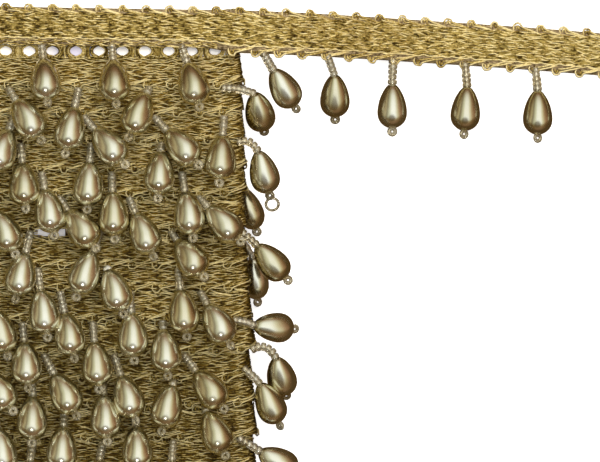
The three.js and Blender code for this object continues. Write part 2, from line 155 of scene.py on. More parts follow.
# %% Wind a flat place on to the roll
# a turn comes up from the back a little high at the right side, and settles over this length
RIGHT_RISE = 1.3
RISE_LENGTH = 12


def smooth(value):
    """From 0 to 1 without a kink at either end."""
    value = np.clip(value, 0, 1)
    return value * value * (3 - 2 * value)


def on_roll(turn, along, across, proud):
    """A point of the wound tape and the outward direction there. across: from the lower edge up."""
    along, across, proud = np.broadcast_arrays(along, across, proud)
    x, z, out_x, out_z = (np.interp(along, section_along, column) for column in section.T)
    here = turns[turn]
    after = turns[min(turn + 1, len(turns) - 1)]
    on_back = np.clip((along - BACK_FROM) / (BACK_TO - BACK_FROM), 0, 1)
    right = here["right"] + (after["right"] - here["right"]) * on_back
    share = (x + ROLL_HALF_WIDTH) / (2 * ROLL_HALF_WIDTH)
    lap = np.clip(across / LAP_LENGTH, 0, 1) * LAP_DEPTH
    rise = RIGHT_RISE * (1 - smooth(along / RISE_LENGTH))
    next_edge = lower_edges[min(turn + 1, len(lower_edges) - 1)] + RIGHT_RISE
    level = lower_edges[turn] + rise + (next_edge - lower_edges[turn]) * on_back
    point_x = roll_middle_x + x + right * share - here["left"] * (1 - share) + out_x * (proud - lap)
    point_z = roll_middle_z + z + out_z * (proud - lap)
    outward = np.stack([out_x, np.zeros_like(out_x), out_z], axis=-1)
    return np.stack([point_x, level + across, point_z], axis=-1), outward


print("first turn's lower edge at the right side:", on_roll(0, 0, 0, 0)[0].round(1))

# %% [markdown]
# ## The line of the loose end
#
# The loose end lies over the first turn, leaves the roll at its right side, sinks to the table and
# droops a little towards the cut. Off the roll it is no longer pulled tight, so it spreads. Its two
# edges are an open lace border that does not spread. A cloth simulation would find such a line of its
# own, but here the line is known, so a second map of the same kind lays the flat tape along it.

# %% Lay a flat place along the loose end
# clearance between the loose end and the roll
GAP = 0.3
# from the roll's right side: to the cut, and back to the start near the roll's left side
LOOSE_LENGTH = 108
LOOSE_START = -101
# above the roll's upper edge, and uphill to the left
LOOSE_RISE = 0.4
LOOSE_SLOPE = 0.016
LOOSE_SPREAD = 1.4
SPREAD_FROM = -12.8
SPREAD_LENGTH = 12
DESCENT_LENGTH = 60
DROOP_SLOPE = 0.03
DROOP_CURVE = 0.00028
# what the lace borders add to the braid's width, and how wide each is
BORDER = 2.1
UPPER_LACE = 1.4
LOWER_LACE = 1.9
# half the stretch over which the line's direction is measured
LINE_STEP = 0.1
loose_top = front_level + GAP + BRAID_THICKNESS / 2


def loose_line(along):
    """The middle of the loose end's upper edge, at a distance from the roll's right side."""
    along = np.asarray(along, float)
    out = np.clip(along, 0, None)
    rise = LOOSE_RISE - LOOSE_SLOPE * np.clip(along, None, 0)
    droop = DROOP_SLOPE * out + DROOP_CURVE * out**2
    height = loose_top + (BRAID_THICKNESS / 2 - loose_top) * smooth(along / DESCENT_LENGTH)
    return np.stack([roll_right_x + along, roll_top + rise - droop, height], axis=-1)


def loose_width(along):
    """The loose end's full width with its lace borders."""
    return BRAID_WIDTH + BORDER + LOOSE_SPREAD * smooth((along - SPREAD_FROM) / SPREAD_LENGTH)


def on_loose(along, across, proud):
    """A point of the loose end and its upward direction there. across: from the lower lace border up."""
    along, across, proud = np.broadcast_arrays(along, across, proud)
    ahead = loose_line(along + LINE_STEP) - loose_line(along - LINE_STEP)
    outward = np.stack([-ahead[..., 2], np.zeros_like(along), ahead[..., 0]], axis=-1)
    outward = outward / np.linalg.norm(outward, axis=-1, keepdims=True)
    point = loose_line(along) + outward * proud[..., None]
    body = loose_width(along) - UPPER_LACE - LOWER_LACE
    inside = np.clip(across, 0, BRAID_WIDTH)
    point[..., 1] += (across - inside) - UPPER_LACE - body * (1 - inside / BRAID_WIDTH)
    return point, outward


print("loose end reaches x =", round(float(loose_line(LOOSE_LENGTH)[0]), 1), "mm")

# %% [markdown]
# ## Tubes, the one form behind strands, beads and pearls
#
# A strand of yarn is a tube along a bent path, and a bead or pearl is a tube along a straight path with
# a radius that changes. Curve objects could do this, but thousands of them are slow, so one function
# writes all the rings of points at once as arrays, and another turns the arrays into one mesh. Each
# tube also gets its own tile of a UV map and a tint, a number near 0 to 1 that the finishes read, so
# that no two strands or pearls look quite the same.

# %% Points and faces of many tubes
def unit(vectors):
    """The same directions with a length of 1."""
    return vectors / np.linalg.norm(vectors, axis=-1, keepdims=True)


def tube_rings(paths, outward, ahead, radius, sides):
    """A ring of points round every step of every path. outward: the way a ring's first point faces."""
    side = unit(np.cross(unit(ahead), outward))
    up = unit(np.cross(side, ahead))
    turn = np.pi / 2 + 2 * np.pi * np.arange(sides) / sides
    ring = side[:, :, None] * np.cos(turn)[:, None] + up[:, :, None] * np.sin(turn)[:, None]
    reach = np.broadcast_to(radius, paths.shape[:2])
    return paths[:, :, None] + ring * reach[:, :, None, None]


def tube_faces(count, steps, sides):
    """Quads between neighbouring rings, and quads that close tubes of four sides or more."""
    index = np.arange(count * steps * sides).reshape(count, steps, sides)
    near, far = index[:, :-1], index[:, 1:]
    walls = np.stack([near, far, np.roll(far, -1, axis=2), np.roll(near, -1, axis=2)], axis=-1)
    caps = []
    for pair in range(1, sides // 2):
        fan = [0, 2 * pair - 1, 2 * pair, 2 * pair + 1]
        caps += [index[:, 0, fan], index[:, -1, fan[::-1]]]
    return np.concatenate([walls.reshape(-1, 4), *caps])


print("faces of one tube with 2 steps and 4 sides:", len(tube_faces(1, 2, 4)))

# %% UV tiles, and the tubes themselves
ROWS_PER_COLUMN = 16
TILE_END_MARGIN = 0.02
TILE_SIDE_MARGIN = 0.05


def tube_tiles(count, steps, sides):
    """UV corners of the faces, in the same order: one tile of the map for each tube."""
    columns = max(1, round(np.sqrt(count / ROWS_PER_COLUMN)))
    rows = -(-count // columns)
    along = np.linspace(TILE_END_MARGIN, 1 - TILE_END_MARGIN, steps)
    about = np.linspace(TILE_SIDE_MARGIN, 1 - TILE_SIDE_MARGIN, sides + 1)
    u = (np.arange(count) % columns)[:, None, None] + along[None, :, None]
    v = (np.arange(count) // columns)[:, None, None] + about[None, None, :]
    grid = np.stack(np.broadcast_arrays(u / columns, v / rows), axis=-1)
    walls = np.stack([grid[:, :-1, :-1], grid[:, 1:, :-1], grid[:, 1:, 1:], grid[:, :-1, 1:]], axis=3)
    caps = [np.repeat(grid[:, end, :1], 4, axis=1) for _ in range(1, sides // 2) for end in (0, -1)]
    return np.concatenate([walls.reshape(-1, 4, 2), *caps])


def tubes(paths, outward, radius, sides, tint, ahead=None):
    """Points, quads, UV corners and tints of tubes along paths of one number of steps each."""
    count, steps = paths.shape[:2]
    ahead = np.gradient(paths, axis=1) if ahead is None else ahead
    points = tube_rings(paths, outward, ahead, radius, sides).reshape(-1, 3)
    tints = np.broadcast_to(np.asarray(tint, float).reshape(count, -1, 1), (count, steps, sides))
    return points, tube_faces(count, steps, sides), tube_tiles(count, steps, sides), tints.reshape(-1)


print("UV corners of the same tube:", tube_tiles(1, 2, 4).shape[:2])

# %% One mesh from arrays
def place_piece(mesh):
    """An object for a mesh: it rides on the part."""
    piece = bpy.data.objects.new(mesh.name, mesh)
    bpy.context.scene.collection.objects.link(piece)
    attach(piece, "root")
    return piece


def make_piece(name, lots, material):
    """One object from several lots of tubes."""
    points, quads, uv, tints = zip(*lots)
    starts = np.cumsum([0] + [len(lot) for lot in points])
    quads = np.concatenate([lot + start for lot, start in zip(quads, starts)])
    points, uv, tints = (np.concatenate(column) for column in (points, uv, tints))
    mesh = bpy.data.meshes.new(name)
    mesh.vertices.add(len(points))
    mesh.vertices.foreach_set("co", (points * MM).ravel())
    mesh.loops.add(quads.size)
    mesh.loops.foreach_set("vertex_index", quads.ravel())
    mesh.polygons.add(len(quads))
    mesh.polygons.foreach_set("loop_start", np.arange(0, quads.size, 4))
    mesh.update(calc_edges=True)
    mesh.uv_layers.new(name="OFBake").data.foreach_set("uv", uv.ravel())
    mesh.attributes.new("tint", "FLOAT", "POINT").data.foreach_set("value", tints)
    mesh.shade_smooth()
    mesh.materials.append(material)
    print(name, "triangles:", 2 * len(quads))
    return place_piece(mesh)


print("pieces are put in:", bpy.context.scene.collection.name)

# %% [markdown]
# ## Finishes
#
# Each finish is one Principled shader, the shader that covers most real surfaces with a few numbers.
# Noise in the object's own space varies its colour and its blur from place to place, as on real thread,
# glass and card. Image textures could do that too, but noise has no seams and no fixed sharpness. The
# helpers below each add one kind of node.

# %% A material to start from, and where it varies
def new_finish(name):
    """A material with its nodes, its links and its one shader."""
    material = bpy.data.materials.new(name)
    material.use_nodes = True
    nodes = material.node_tree.nodes
    return material, nodes, material.node_tree.links, nodes["Principled BSDF"]


def add_noise(nodes, links, scale, detail, stretch=1):
    """Noise in the object's space. scale: lumps a metre; stretch: how much longer they are along X."""
    coordinates = nodes.new("ShaderNodeTexCoord")
    mapping = nodes.new("ShaderNodeMapping")
    mapping.inputs["Scale"].default_value = (1 / stretch, 1, 1)
    noise = nodes.new("ShaderNodeTexNoise")
    noise.inputs["Scale"].default_value = scale
    noise.inputs["Detail"].default_value = detail
    links.new(coordinates.outputs["Object"], mapping.inputs["Vector"])
    links.new(mapping.outputs["Vector"], noise.inputs["Vector"])
    return noise.outputs["Fac"]


def add_tint(nodes):
    """The tint that each tube of a piece was given."""
    attribute = nodes.new("ShaderNodeAttribute")
    attribute.attribute_name = "tint"
    return attribute.outputs["Fac"]


print("materials before the finishes:", len(bpy.data.materials))

# %% Values made from noise and tint
NOISE_MIDDLE = 0.5
NOISE_LOW = 0.3
NOISE_HIGH = 0.7


def add_blend(nodes, links, first, second, share):
    """A mix of two values. share: of the second one."""
    blend = nodes.new("ShaderNodeMix")
    blend.inputs["Factor"].default_value = share
    links.new(first, blend.inputs["A"])
    links.new(second, blend.inputs["B"])
    return blend.outputs["Result"]


def add_change(nodes, links, value, noise, size):
    """A value made larger or smaller by noise."""
    centred = nodes.new("ShaderNodeMath")
    centred.operation = "SUBTRACT"
    links.new(noise, centred.inputs[0])
    centred.inputs[1].default_value = NOISE_MIDDLE
    change = nodes.new("ShaderNodeMath")
    change.operation = "MULTIPLY_ADD"
    links.new(centred.outputs["Value"], change.inputs[0])
    change.inputs[1].default_value = size
    links.new(value, change.inputs[2])
    return change.outputs["Value"]


def add_range(nodes, links, value, low, high):
    """The range in which most noise lies, spread over another range."""
    spread = nodes.new("ShaderNodeMapRange")
    spread.inputs["From Min"].default_value = NOISE_LOW
    spread.inputs["From Max"].default_value = NOISE_HIGH
    spread.inputs["To Min"].default_value = low
    spread.inputs["To Max"].default_value = high
    links.new(value, spread.inputs["Value"])
    return spread.outputs["Result"]


print("most noise lies from", NOISE_LOW, "to", NOISE_HIGH)

# %% Colours and bumps made from a value
def add_ramp(nodes, links, value, stops):
    """Colours at places along a value."""
    ramp = nodes.new("ShaderNodeValToRGB")
    elements = ramp.color_ramp.elements
    while len(elements) < len(stops):
        elements.new(position=0.5)
    for element, (place, colour) in zip(elements, stops):
        element.position = place
        element.color = (*colour, 1)
    links.new(value, ramp.inputs["Fac"])
    return ramp.outputs["Color"]


def add_bump(nodes, links, shader, height, depth_mm, strength):
    """A fine unevenness of the surface."""
    bump = nodes.new("ShaderNodeBump")
    bump.inputs["Distance"].default_value = depth_mm * MM
    bump.inputs["Strength"].default_value = strength
    links.new(height, bump.inputs["Height"])
    links.new(bump.outputs["Normal"], shader.inputs["Normal"])


helpers = (add_noise, add_tint, add_blend, add_change, add_range, add_ramp, add_bump)
print("helpers for a finish:", *[helper.__name__ for helper in helpers])

# %% [markdown]
# Metallic thread is a thin foil wrapped on a core: it mirrors its surroundings in warm gold, a little
# blurred, and dulls where it is rubbed. A shader that is part metallic does that. A single gold would
# look like plastic, so the strand's own tint, slow patches and fine flecks are added up, and the sum
# picks a tone from a ramp of four golds, dark to pale. The fine flecks are painted glints, and the tint
# itself carries painted glints, painted light and painted shade. That gives the broken sparkle of foil.

# %% Gold thread
GOLDS = [
    (0.0, (0.06, 0.034, 0.005)),
    (0.2, (0.22, 0.145, 0.025)),
    (0.5, (0.58, 0.435, 0.132)),
    (0.95, (0.98, 0.86, 0.5)),
]


def gold_thread():
    """Foil thread, varied by tint, patches and painted glints."""
    material, nodes, links, shader = new_finish("gold_thread")
    patches = add_noise(nodes, links, scale=260, detail=3)
    foil = add_noise(nodes, links, scale=2600, detail=2)
    # fine flecks that are painted glints
    painted_glint_flecks = add_noise(nodes, links, scale=1900, detail=2)
    value = add_change(nodes, links, add_tint(nodes), patches, size=0.5)
    value = add_change(nodes, links, value, painted_glint_flecks, size=1.5)
    links.new(add_ramp(nodes, links, value, GOLDS), shader.inputs["Base Color"])
    links.new(add_range(nodes, links, foil, low=0.28, high=0.5), shader.inputs["Roughness"])
    shader.inputs["Metallic"].default_value = 0.7
    add_bump(nodes, links, shader, foil, depth_mm=0.08, strength=0.5)
    return material


gold = gold_thread()
print("finish:", gold.name)

# %% [markdown]
# Between the foil strands shows dull thread: olive in the roll, paler in the loose end, browner in the
# lace borders. The roll's darker olive is painted shade, for the shade deep between its packed strands.
# Modelled threads would hardly be seen there, so noise that is stretched along the tape draws them on a
# plain surface, in two tones and with a slight bump.

# %% The dull thread between the strands
THREAD_SHADE = 0.38
THREAD_LIGHT = 0.62


def woven_ground(name, shade, light, stretch):
    """Short streaks of two tones. stretch: how much longer than wide they are."""
    material, nodes, links, shader = new_finish(name)
    threads = add_noise(nodes, links, scale=2400, detail=3, stretch=stretch)
    stops = [(THREAD_SHADE, shade), (THREAD_LIGHT, light)]
    links.new(add_ramp(nodes, links, threads, stops), shader.inputs["Base Color"])
    links.new(add_range(nodes, links, threads, low=0.5, high=0.75), shader.inputs["Roughness"])
    shader.inputs["Metallic"].default_value = 0.4
    shader.inputs["Specular IOR Level"].default_value = 0.2
    add_bump(nodes, links, shader, threads, depth_mm=0.2, strength=0.8)
    return material


# the roll's tape is a darker copy of the loose end's ground: painted shade
tape = woven_ground("shaded_tape", (0.035, 0.019, 0.002), (0.20, 0.124, 0.02), stretch=4)
loose_ground = woven_ground("loose_ground", (0.10, 0.07, 0.012), (0.44, 0.34, 0.11), stretch=4)
lace = woven_ground("lace_border", (0.08, 0.05, 0.022), (0.38, 0.30, 0.18), stretch=2)
print("finishes:", tape.name, loose_ground.name, lace.name)

# %% [markdown]
# The pearls are moulded beads with a lustre coat: nearly a mirror, champagne in colour and blurred a
# little. Real lustre is many thin layers. One metallic shader with a warm tint towards its rim comes
# close to that and is far simpler, and clouds of noise make the coat faintly uneven.

# %% Pearl lustre
LUSTRE_TONES = [(0.25, (0.73, 0.70, 0.53)), (0.75, (0.86, 0.865, 0.77))]
LUSTRE_RIM = (0.92, 0.76, 0.5, 1)


def pearl_lustre():
    """A champagne mirror with a warm rim; every pearl has a tone of its own."""
    material, nodes, links, shader = new_finish("pearl_lustre")
    clouds = add_noise(nodes, links, scale=220, detail=3)
    value = add_blend(nodes, links, clouds, add_tint(nodes), share=0.5)
    links.new(add_ramp(nodes, links, value, LUSTRE_TONES), shader.inputs["Base Color"])
    links.new(add_range(nodes, links, clouds, low=0.19, high=0.26), shader.inputs["Roughness"])
    shader.inputs["Metallic"].default_value = 1.0
    shader.inputs["Specular Tint"].default_value = LUSTRE_RIM
    add_bump(nodes, links, shader, clouds, depth_mm=0.15, strength=0.12)
    return material


lustre = pearl_lustre()
print("finish:", lustre.name)

# %% [markdown]
# The seed beads are clear glass on a silvered thread, and the stoppers at the pearls' ends are rings of
# clear glass in a warmer tone. Glass alone goes dark wherever the room is dark, so a share of metal in
# the shader stands for the glints that real beads throw back. One function makes both kinds.

# %% Glass of the beads and the stoppers
GLASS_IOR = 1.5
SEED_TONES = [(0.25, (0.86, 0.80, 0.64)), (0.75, (0.99, 0.98, 0.92))]
STOPPER_TONES = [(0.25, (0.58, 0.53, 0.39)), (0.75, (0.82, 0.78, 0.65))]


def bead_glass(name, lumps, tones, roughness, metallic, clearness):
    """Clear glass with glints. lumps: of noise, to a metre; roughness: its lowest and highest."""
    material, nodes, links, shader = new_finish(name)
    clouds = add_noise(nodes, links, scale=lumps, detail=2)
    value = add_blend(nodes, links, clouds, add_tint(nodes), share=0.5)
    links.new(add_ramp(nodes, links, value, tones), shader.inputs["Base Color"])
    links.new(add_range(nodes, links, value, *roughness), shader.inputs["Roughness"])
    shader.inputs["Metallic"].default_value = metallic
    shader.inputs["Transmission Weight"].default_value = clearness
    shader.inputs["IOR"].default_value = GLASS_IOR
    return material


glass = bead_glass("seed_glass", 900, SEED_TONES, (0.05, 0.14), metallic=0.35, clearness=0.9)
clear_glass = bead_glass("stopper_glass", 700, STOPPER_TONES, (0.03, 0.12), metallic=0.1, clearness=0.8)
print("finishes:", glass.name, clear_glass.name)

# %% [markdown]
# The thread inside the beads is twisted from silvered yarn, and it is what makes them bright. Its twist
# is too fine to model, so noise stands for it in colour, blur and bump.

# %% Silvered thread
SILVER_TONES = [(0.3, (0.50, 0.45, 0.34)), (0.7, (0.92, 0.89, 0.78))]


def silvered_thread():
    """Pale twisted yarn with some shine."""
    material, nodes, links, shader = new_finish("silvered_thread")
    twist = add_noise(nodes, links, scale=3000, detail=2)
    links.new(add_ramp(nodes, links, twist, SILVER_TONES), shader.inputs["Base Color"])
    links.new(add_range(nodes, links, twist, low=0.3, high=0.5), shader.inputs["Roughness"])
    shader.inputs["Metallic"].default_value = 0.4
    add_bump(nodes, links, shader, twist, depth_mm=0.05, strength=0.5)
    return material


thread = silvered_thread()
print("finish:", thread.name)

# %% [markdown]
# The card that the braid is wound on is plain pale board, and its lilac patches are painted shade. It is
# seen only through small gaps, deep in the shade of the braid, and yet it looks white there. A brighter
# lamp would spoil the braid, so the finish gives off a little light of its own: a painted glow, though
# the card is no lamp.

# %% Pale card
# white board, and lilac patches that are painted shade
CARD_WHITE_AND_PAINTED_SHADE = [(0.34, (0.55, 0.52, 0.74)), (0.44, (0.97, 0.97, 1.0))]
# painted light: the colour and the strength of the card's glow, though it is no lamp
CARD_GLOW = (0.9, 0.9, 1.0, 1)
CARD_PAINTED_LIGHT = 0.22


def pale_card():
    """Pale board with lilac patches of painted shade and a painted glow."""
    material, nodes, links, shader = new_finish("pale_card")
    fibres = add_noise(nodes, links, scale=500, detail=4)
    # lilac patches of painted shade
    painted_shade_patches = add_noise(nodes, links, scale=55, detail=1)
    links.new(add_ramp(nodes, links, painted_shade_patches, CARD_WHITE_AND_PAINTED_SHADE), shader.inputs["Base Color"])
    links.new(add_range(nodes, links, fibres, low=0.6, high=0.8), shader.inputs["Roughness"])
    # a painted glow that lifts the card out of the braid's shade
    shader.inputs["Emission Color"].default_value = CARD_GLOW
    shader.inputs["Emission Strength"].default_value = CARD_PAINTED_LIGHT
    add_bump(nodes, links, shader, fibres, depth_mm=0.1, strength=0.3)
    return material


card = pale_card()
print("finish:", card.name)

# %% [markdown]
# ## The wound form under the strands
#
# Below the strands lies the tape itself, each turn lapped by the turn above. Where two turns part, the
# pale card shows through. Each turn could be a band of its own, but many thin bands that lap would cut
# into each other. One closed skin that winds down like a screw holds them all: its bands take the
# tape's finish, and those that lie in a gap take the card's.

# %% The skin of the wound form
SKIN_COLUMNS = 160
SKIN_ROWS = 4
# the least step from one row to the next, and how far the card lies below the tape
SKIN_ROW_STEP = 0.4
CARD_DEPTH = 0.3
# the turns with open card under their upper edge, and where along the tape it shows
CARD_SPANS = {1: (0, 112), 7: (51.5, 60)}
NO_CARD = (0, 0)
skin_along = np.linspace(0, ROUND, SKIN_COLUMNS, endpoint=False)


def edge_level(turn, along):
    """The height up the sheet of a turn's lower edge."""
    return on_roll(turn, along, 0, 0)[0][..., 1]


def skin_rows(turn, along):
    """Four points down one turn, from the edge above to its lower edge, and whether card shows."""
    above = np.full_like(along, BRAID_WIDTH)
    if turn:
        above = edge_level(turn - 1, along) - edge_level(turn, along)
    gap = above - BRAID_WIDTH
    card_from, card_to = CARD_SPANS.get(turn, NO_CARD)
    is_card = (gap > 0) & (along >= card_from) & (along < card_to)
    sunk = np.where(gap > 0, -CARD_DEPTH, 0)
    upper = np.minimum(above - SKIN_ROW_STEP, BRAID_WIDTH)
    lapped = np.minimum(upper - SKIN_ROW_STEP, LAP_LENGTH)
    places = [(above, sunk), (upper, sunk), (lapped, 0), (0 * along, 0)]
    rows = [on_roll(turn, along, across, proud)[0] for across, proud in places]
    return np.stack(rows, axis=1), is_card


skin_parts = [skin_rows(turn, skin_along) for turn in range(len(turns))]
skin_parts.append(skin_rows(len(turns) - 1, np.array([ROUND])))
skin_points = np.concatenate([points for points, _ in skin_parts])
skin_card = np.concatenate([is_card for _, is_card in skin_parts])
print("columns of the skin:", len(skin_points))

# %% Faces of the skin, and its two ends
skin_index = np.arange(len(skin_points) * SKIN_ROWS).reshape(-1, SKIN_ROWS)


def band_faces(upper, lower):
    """Quads between two lines of points that run along the tape."""
    return np.stack([upper[:-1], upper[1:], lower[1:], lower[:-1]], axis=-1).tolist()


def end_faces(edge):
    """Quads across one end of the roll. edge: the points once round that end."""
    faces = []
    for near in range(SKIN_COLUMNS // 2):
        far = SKIN_COLUMNS - near
        faces.append([edge[near + 1], edge[near], edge[far], edge[far - 1]])
    return faces


first_edge = skin_index[: SKIN_COLUMNS + 1, 0].tolist()
last_edge = skin_index[-SKIN_COLUMNS - 1 :, -1].tolist()
first_column = skin_index[0].tolist()
last_column = skin_index[-1, ::-1].tolist()
upper_end = [[*first_column, first_edge[-1]], *end_faces(first_edge)]
lower_end = [[*last_column, last_edge[0]], *[face[::-1] for face in end_faces(last_edge)]]
bands = [band_faces(skin_index[:, row], skin_index[:, row + 1]) for row in range(SKIN_ROWS - 1)]
steps_between_turns = band_faces(skin_index[:-SKIN_COLUMNS, -1], skin_index[SKIN_COLUMNS:, 0])
ends = [list(dict.fromkeys(face)) for face in upper_end + lower_end]
faces = sum(bands, []) + steps_between_turns + ends
print("faces of the skin:", len(faces))

# %% The skin as a piece
shows_card = np.zeros(len(faces), int)
shows_card[: len(bands[0])] = skin_card[:-1]
skin_mesh = bpy.data.meshes.new("wound_tape")
skin_mesh.from_pydata((skin_points.reshape(-1, 3) * MM).tolist(), [], faces)
skin_mesh.materials.append(tape)
skin_mesh.materials.append(card)
skin_mesh.polygons.foreach_set("material_index", shows_card)
skin_mesh.update()
wound_tape = place_piece(skin_mesh)
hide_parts("wound_roll")
print("faces that show card:", shows_card.sum())

# %% [markdown]
# ## Strands of the braid
#
# The braid is many crinkled metallic strands that run along the tape and pass over and under their
# neighbours, so that each shows as a row of bright dashes. A texture could paint this, but real strands
# catch the light on one side and shade their neighbours. Each strand wanders sideways, rises, falls and
# changes tint by sums of slow waves whose lengths do not fit each other, and that keeps the rows from
# looking printed. The changes of tint are painted glints that add to the bright dashes.

# %% Strands that wander along the tape
STRANDS = 25
STRAND_FIRST = 0.25
STRAND_PITCH = 0.39
STRAND_PROUD = 0.15
BRIGHT_LIFT = 0.12
BRIGHT_TINT = 0.7
DARK_TINT = 0.37
TINT_SPREAD = 0.12
RANDOM_SEED = 7
# length of a wave along the tape, its sideways reach, its rise and its change of tint: painted glints
WAVE_COLUMNS = np.array(
    [
        (2.7, 0.07, 0.08, 0.16),
        (4.1, 0.13, 0.11, 0.22),
        (6.3, 0.15, 0.09, 0.20),
        (9.7, 0.12, 0.05, 0.14),
        (15.1, 0.12, 0.00, 0.08),
    ]
).T
WAVE_LENGTHS, *WAVE_REACHES = WAVE_COLUMNS
WANDER, RISE_AND_FALL, PAINTED_GLINTS = range(len(WAVE_REACHES))
random = np.random.default_rng(RANDOM_SEED)
wave_phase = random.uniform(0, 2 * np.pi, (len(WAVE_REACHES), STRANDS, len(WAVE_LENGTHS)))
strand_middle = STRAND_FIRST + STRAND_PITCH * np.arange(STRANDS)
is_bright = np.arange(STRANDS) % 2 == 0
strand_tint = np.where(is_bright, BRIGHT_TINT, DARK_TINT)
strand_tint = strand_tint + random.uniform(-TINT_SPREAD, TINT_SPREAD, STRANDS)
strand_proud = np.where(is_bright, STRAND_PROUD + BRIGHT_LIFT, STRAND_PROUD)


def waves(kind, travelled):
    """The sum of the waves of one kind along every strand."""
    angle = 2 * np.pi * travelled[None, :, None] / WAVE_LENGTHS + wave_phase[kind][:, None]
    return (np.sin(angle) * WAVE_REACHES[kind]).sum(axis=-1)


def wandering_strands(travelled):
    """Place across the tape, height above it and tint of every strand at places along the tape."""
    across = strand_middle[:, None] + waves(WANDER, travelled)
    proud = strand_proud[:, None] + waves(RISE_AND_FALL, travelled)
    # the waves of tint are painted glints
    tint = strand_tint[:, None] + waves(PAINTED_GLINTS, travelled)
    return across, proud, tint


print("strands across the braid:", STRANDS)

# %% [markdown]
# Round the roll, a strand that the turn above hides is left out. Where the braid folds over the roll's
# sides its strands lie flat and in shade, so their height sinks there and their tint is darkened as
# painted shade. The first turn is pressed down by the loose end, and the uppermost turns are painted a
# little lighter than the lowest, as painted light that falls off down the roll. All this could be
# sculpted, but as terms of one sum it stays easy to change.

# %% Strands round the roll
FINE_STEP = 0.7
COARSE_STEP = 2.8
STRAND_RADIUS = 0.17
STRAND_SIDES = 3
TURNS_PER_PIECE = 4
# how far the strands go on under the turn above, and how far they sink where the card shows
UNDER_LAP = 0.6
UNDER_CARD = 1.0
# how far the loose end presses the strands down, and over which length that begins
PRESSED = 0.4
PRESS_RUN_IN = 4
# over which length the fold reaches, how much darker it is and how much flatter
FOLD_LENGTH = 7.2
FOLD_DARK = 0.7
FOLD_FLAT = 0.75
# painted light falloff: the change of tint of the uppermost turn and of the lowest one
TURN_LIGHT_FALLOFF = (0.17, -0.08)
front_places = np.arange(0, BACK_FROM, FINE_STEP)
back_places = np.arange(BACK_FROM, ROUND, COARSE_STEP)
strand_along = np.concatenate([front_places, back_places, [ROUND]])


def under_loose_end(turn):
    """How far the strands of a turn are pressed down along the tape."""
    if turn > 0:
        return 0
    from_right = smooth(strand_along / PRESS_RUN_IN)
    from_left = smooth((BACK_FROM - strand_along) / PRESS_RUN_IN)
    return PRESSED * from_right * from_left


def roll_strands(turn):
    """The strands of one turn, less those hidden under the turn above."""
    across, proud, tint = wandering_strands(strand_along + turn * ROUND)
    shown = strand_middle < turns[turn]["step"] + UNDER_LAP
    card_from, card_to = CARD_SPANS.get(turn, NO_CARD)
    over_card = (strand_along > card_from) & (strand_along < card_to)
    proud = proud - UNDER_CARD * np.outer(strand_middle > BRAID_WIDTH, over_card)
    fold = 1 - smooth(strand_along / FOLD_LENGTH) * smooth((ROUND - strand_along) / FOLD_LENGTH)
    proud = proud * (1 - FOLD_FLAT * fold) - under_loose_end(turn)
    points, outward = on_roll(turn, strand_along, across[shown], proud[shown])
    # painted light falloff down the roll, and painted shade in the folds
    tint = tint + np.interp(turn, (0, len(turns) - 1), TURN_LIGHT_FALLOFF) - FOLD_DARK * fold
    return tubes(points, outward, STRAND_RADIUS, STRAND_SIDES, tint[shown])


for start in range(0, len(turns), TURNS_PER_PIECE):
    lot = [roll_strands(turn) for turn in range(start, start + TURNS_PER_PIECE)]
    make_piece(f"braid_{start // TURNS_PER_PIECE + 1}", lot, gold)

# %% [markdown]
# The two ends of the roll show the braid edge on, layer behind layer from the front to the back. Flat
# caps with a striped finish would do from afar. Strands ruled from the front edge to the back edge
# close each end with the same thread as the rest, also when seen from close by.

# %% Layers at the two ends of the roll
END_LAYERS = 15
END_STEPS = 120
END_RADIUS = 0.34
END_PROUD = 0.15
end_along = np.linspace(0, ROUND / 2, END_STEPS)


def end_layers(turn, across, side):
    """Strands over one end of the roll. side: 1 for the upper end, -1 for the lower one."""
    near = on_roll(turn, end_along, across, 0)[0]
    far = on_roll(turn, ROUND - end_along, across, 0)[0]
    share = np.linspace(0, 1, END_LAYERS + 2)[1:-1, None, None]
    out = np.array([0.0, side, 0.0])
    rise = END_PROUD + waves(RISE_AND_FALL, end_along)[:END_LAYERS]
    points = near * (1 - share) + far * share + rise[..., None] * out
    tint = strand_tint[:END_LAYERS, None] + waves(PAINTED_GLINTS, end_along)[:END_LAYERS]
    return tubes(points, np.broadcast_to(out, points.shape), END_RADIUS, STRAND_SIDES, tint)


end_lots = [end_layers(0, BRAID_WIDTH, 1), end_layers(len(turns) - 1, 0, -1)]
make_piece("roll_ends", end_lots, gold)

# %% [markdown]
# ## Edges with picots
#
# Along both edges thicker strands work from picot to picot: one loops out and round to make the picot,
# then lies over the edge in a long slanting stitch and dives into the body before the next. A second
# strand fills the loop and a third runs beside the long stitch. Copies of one modelled stitch would all
# look alike. Here a few control points describe each strand, every copy moves them a little, a spline
# rounds it off, and the map of the winding puts one at every step along the tape.

# %% The strands of one stitch
# each point: to the right, outwards from the edge, height above the tape
STITCH = np.array(
    [
        (-0.9, -1.0, 0.0),
        (-1.05, -0.3, 0.3),
        (-1.0, 0.35, 0.35),
        (-0.6, 0.9, 0.38),
        (0.05, 1.05, 0.42),
        (0.65, 0.85, 0.48),
        (1.0, 0.3, 0.55),
        (1.8, -0.1, 0.66),
        (3.4, -0.5, 0.62),
        (5.0, -0.95, 0.5),
        (6.6, -1.4, 0.2),
    ]
)
FILL = np.array(
    [
        (-0.4, -0.5, 0.1),
        (-0.35, 0.25, 0.25),
        (0.05, 0.5, 0.3),
        (0.4, 0.2, 0.3),
        (0.45, -0.5, 0.3),
    ]
)
BESIDE = np.array([(0.5, -0.6, 0.35), (2.1, -0.65, 0.55), (3.9, -1.05, 0.55), (5.9, -1.7, 0.15)])
STITCH_SIZES = (0.88, 1.12)
STITCH_JITTER = 0.06


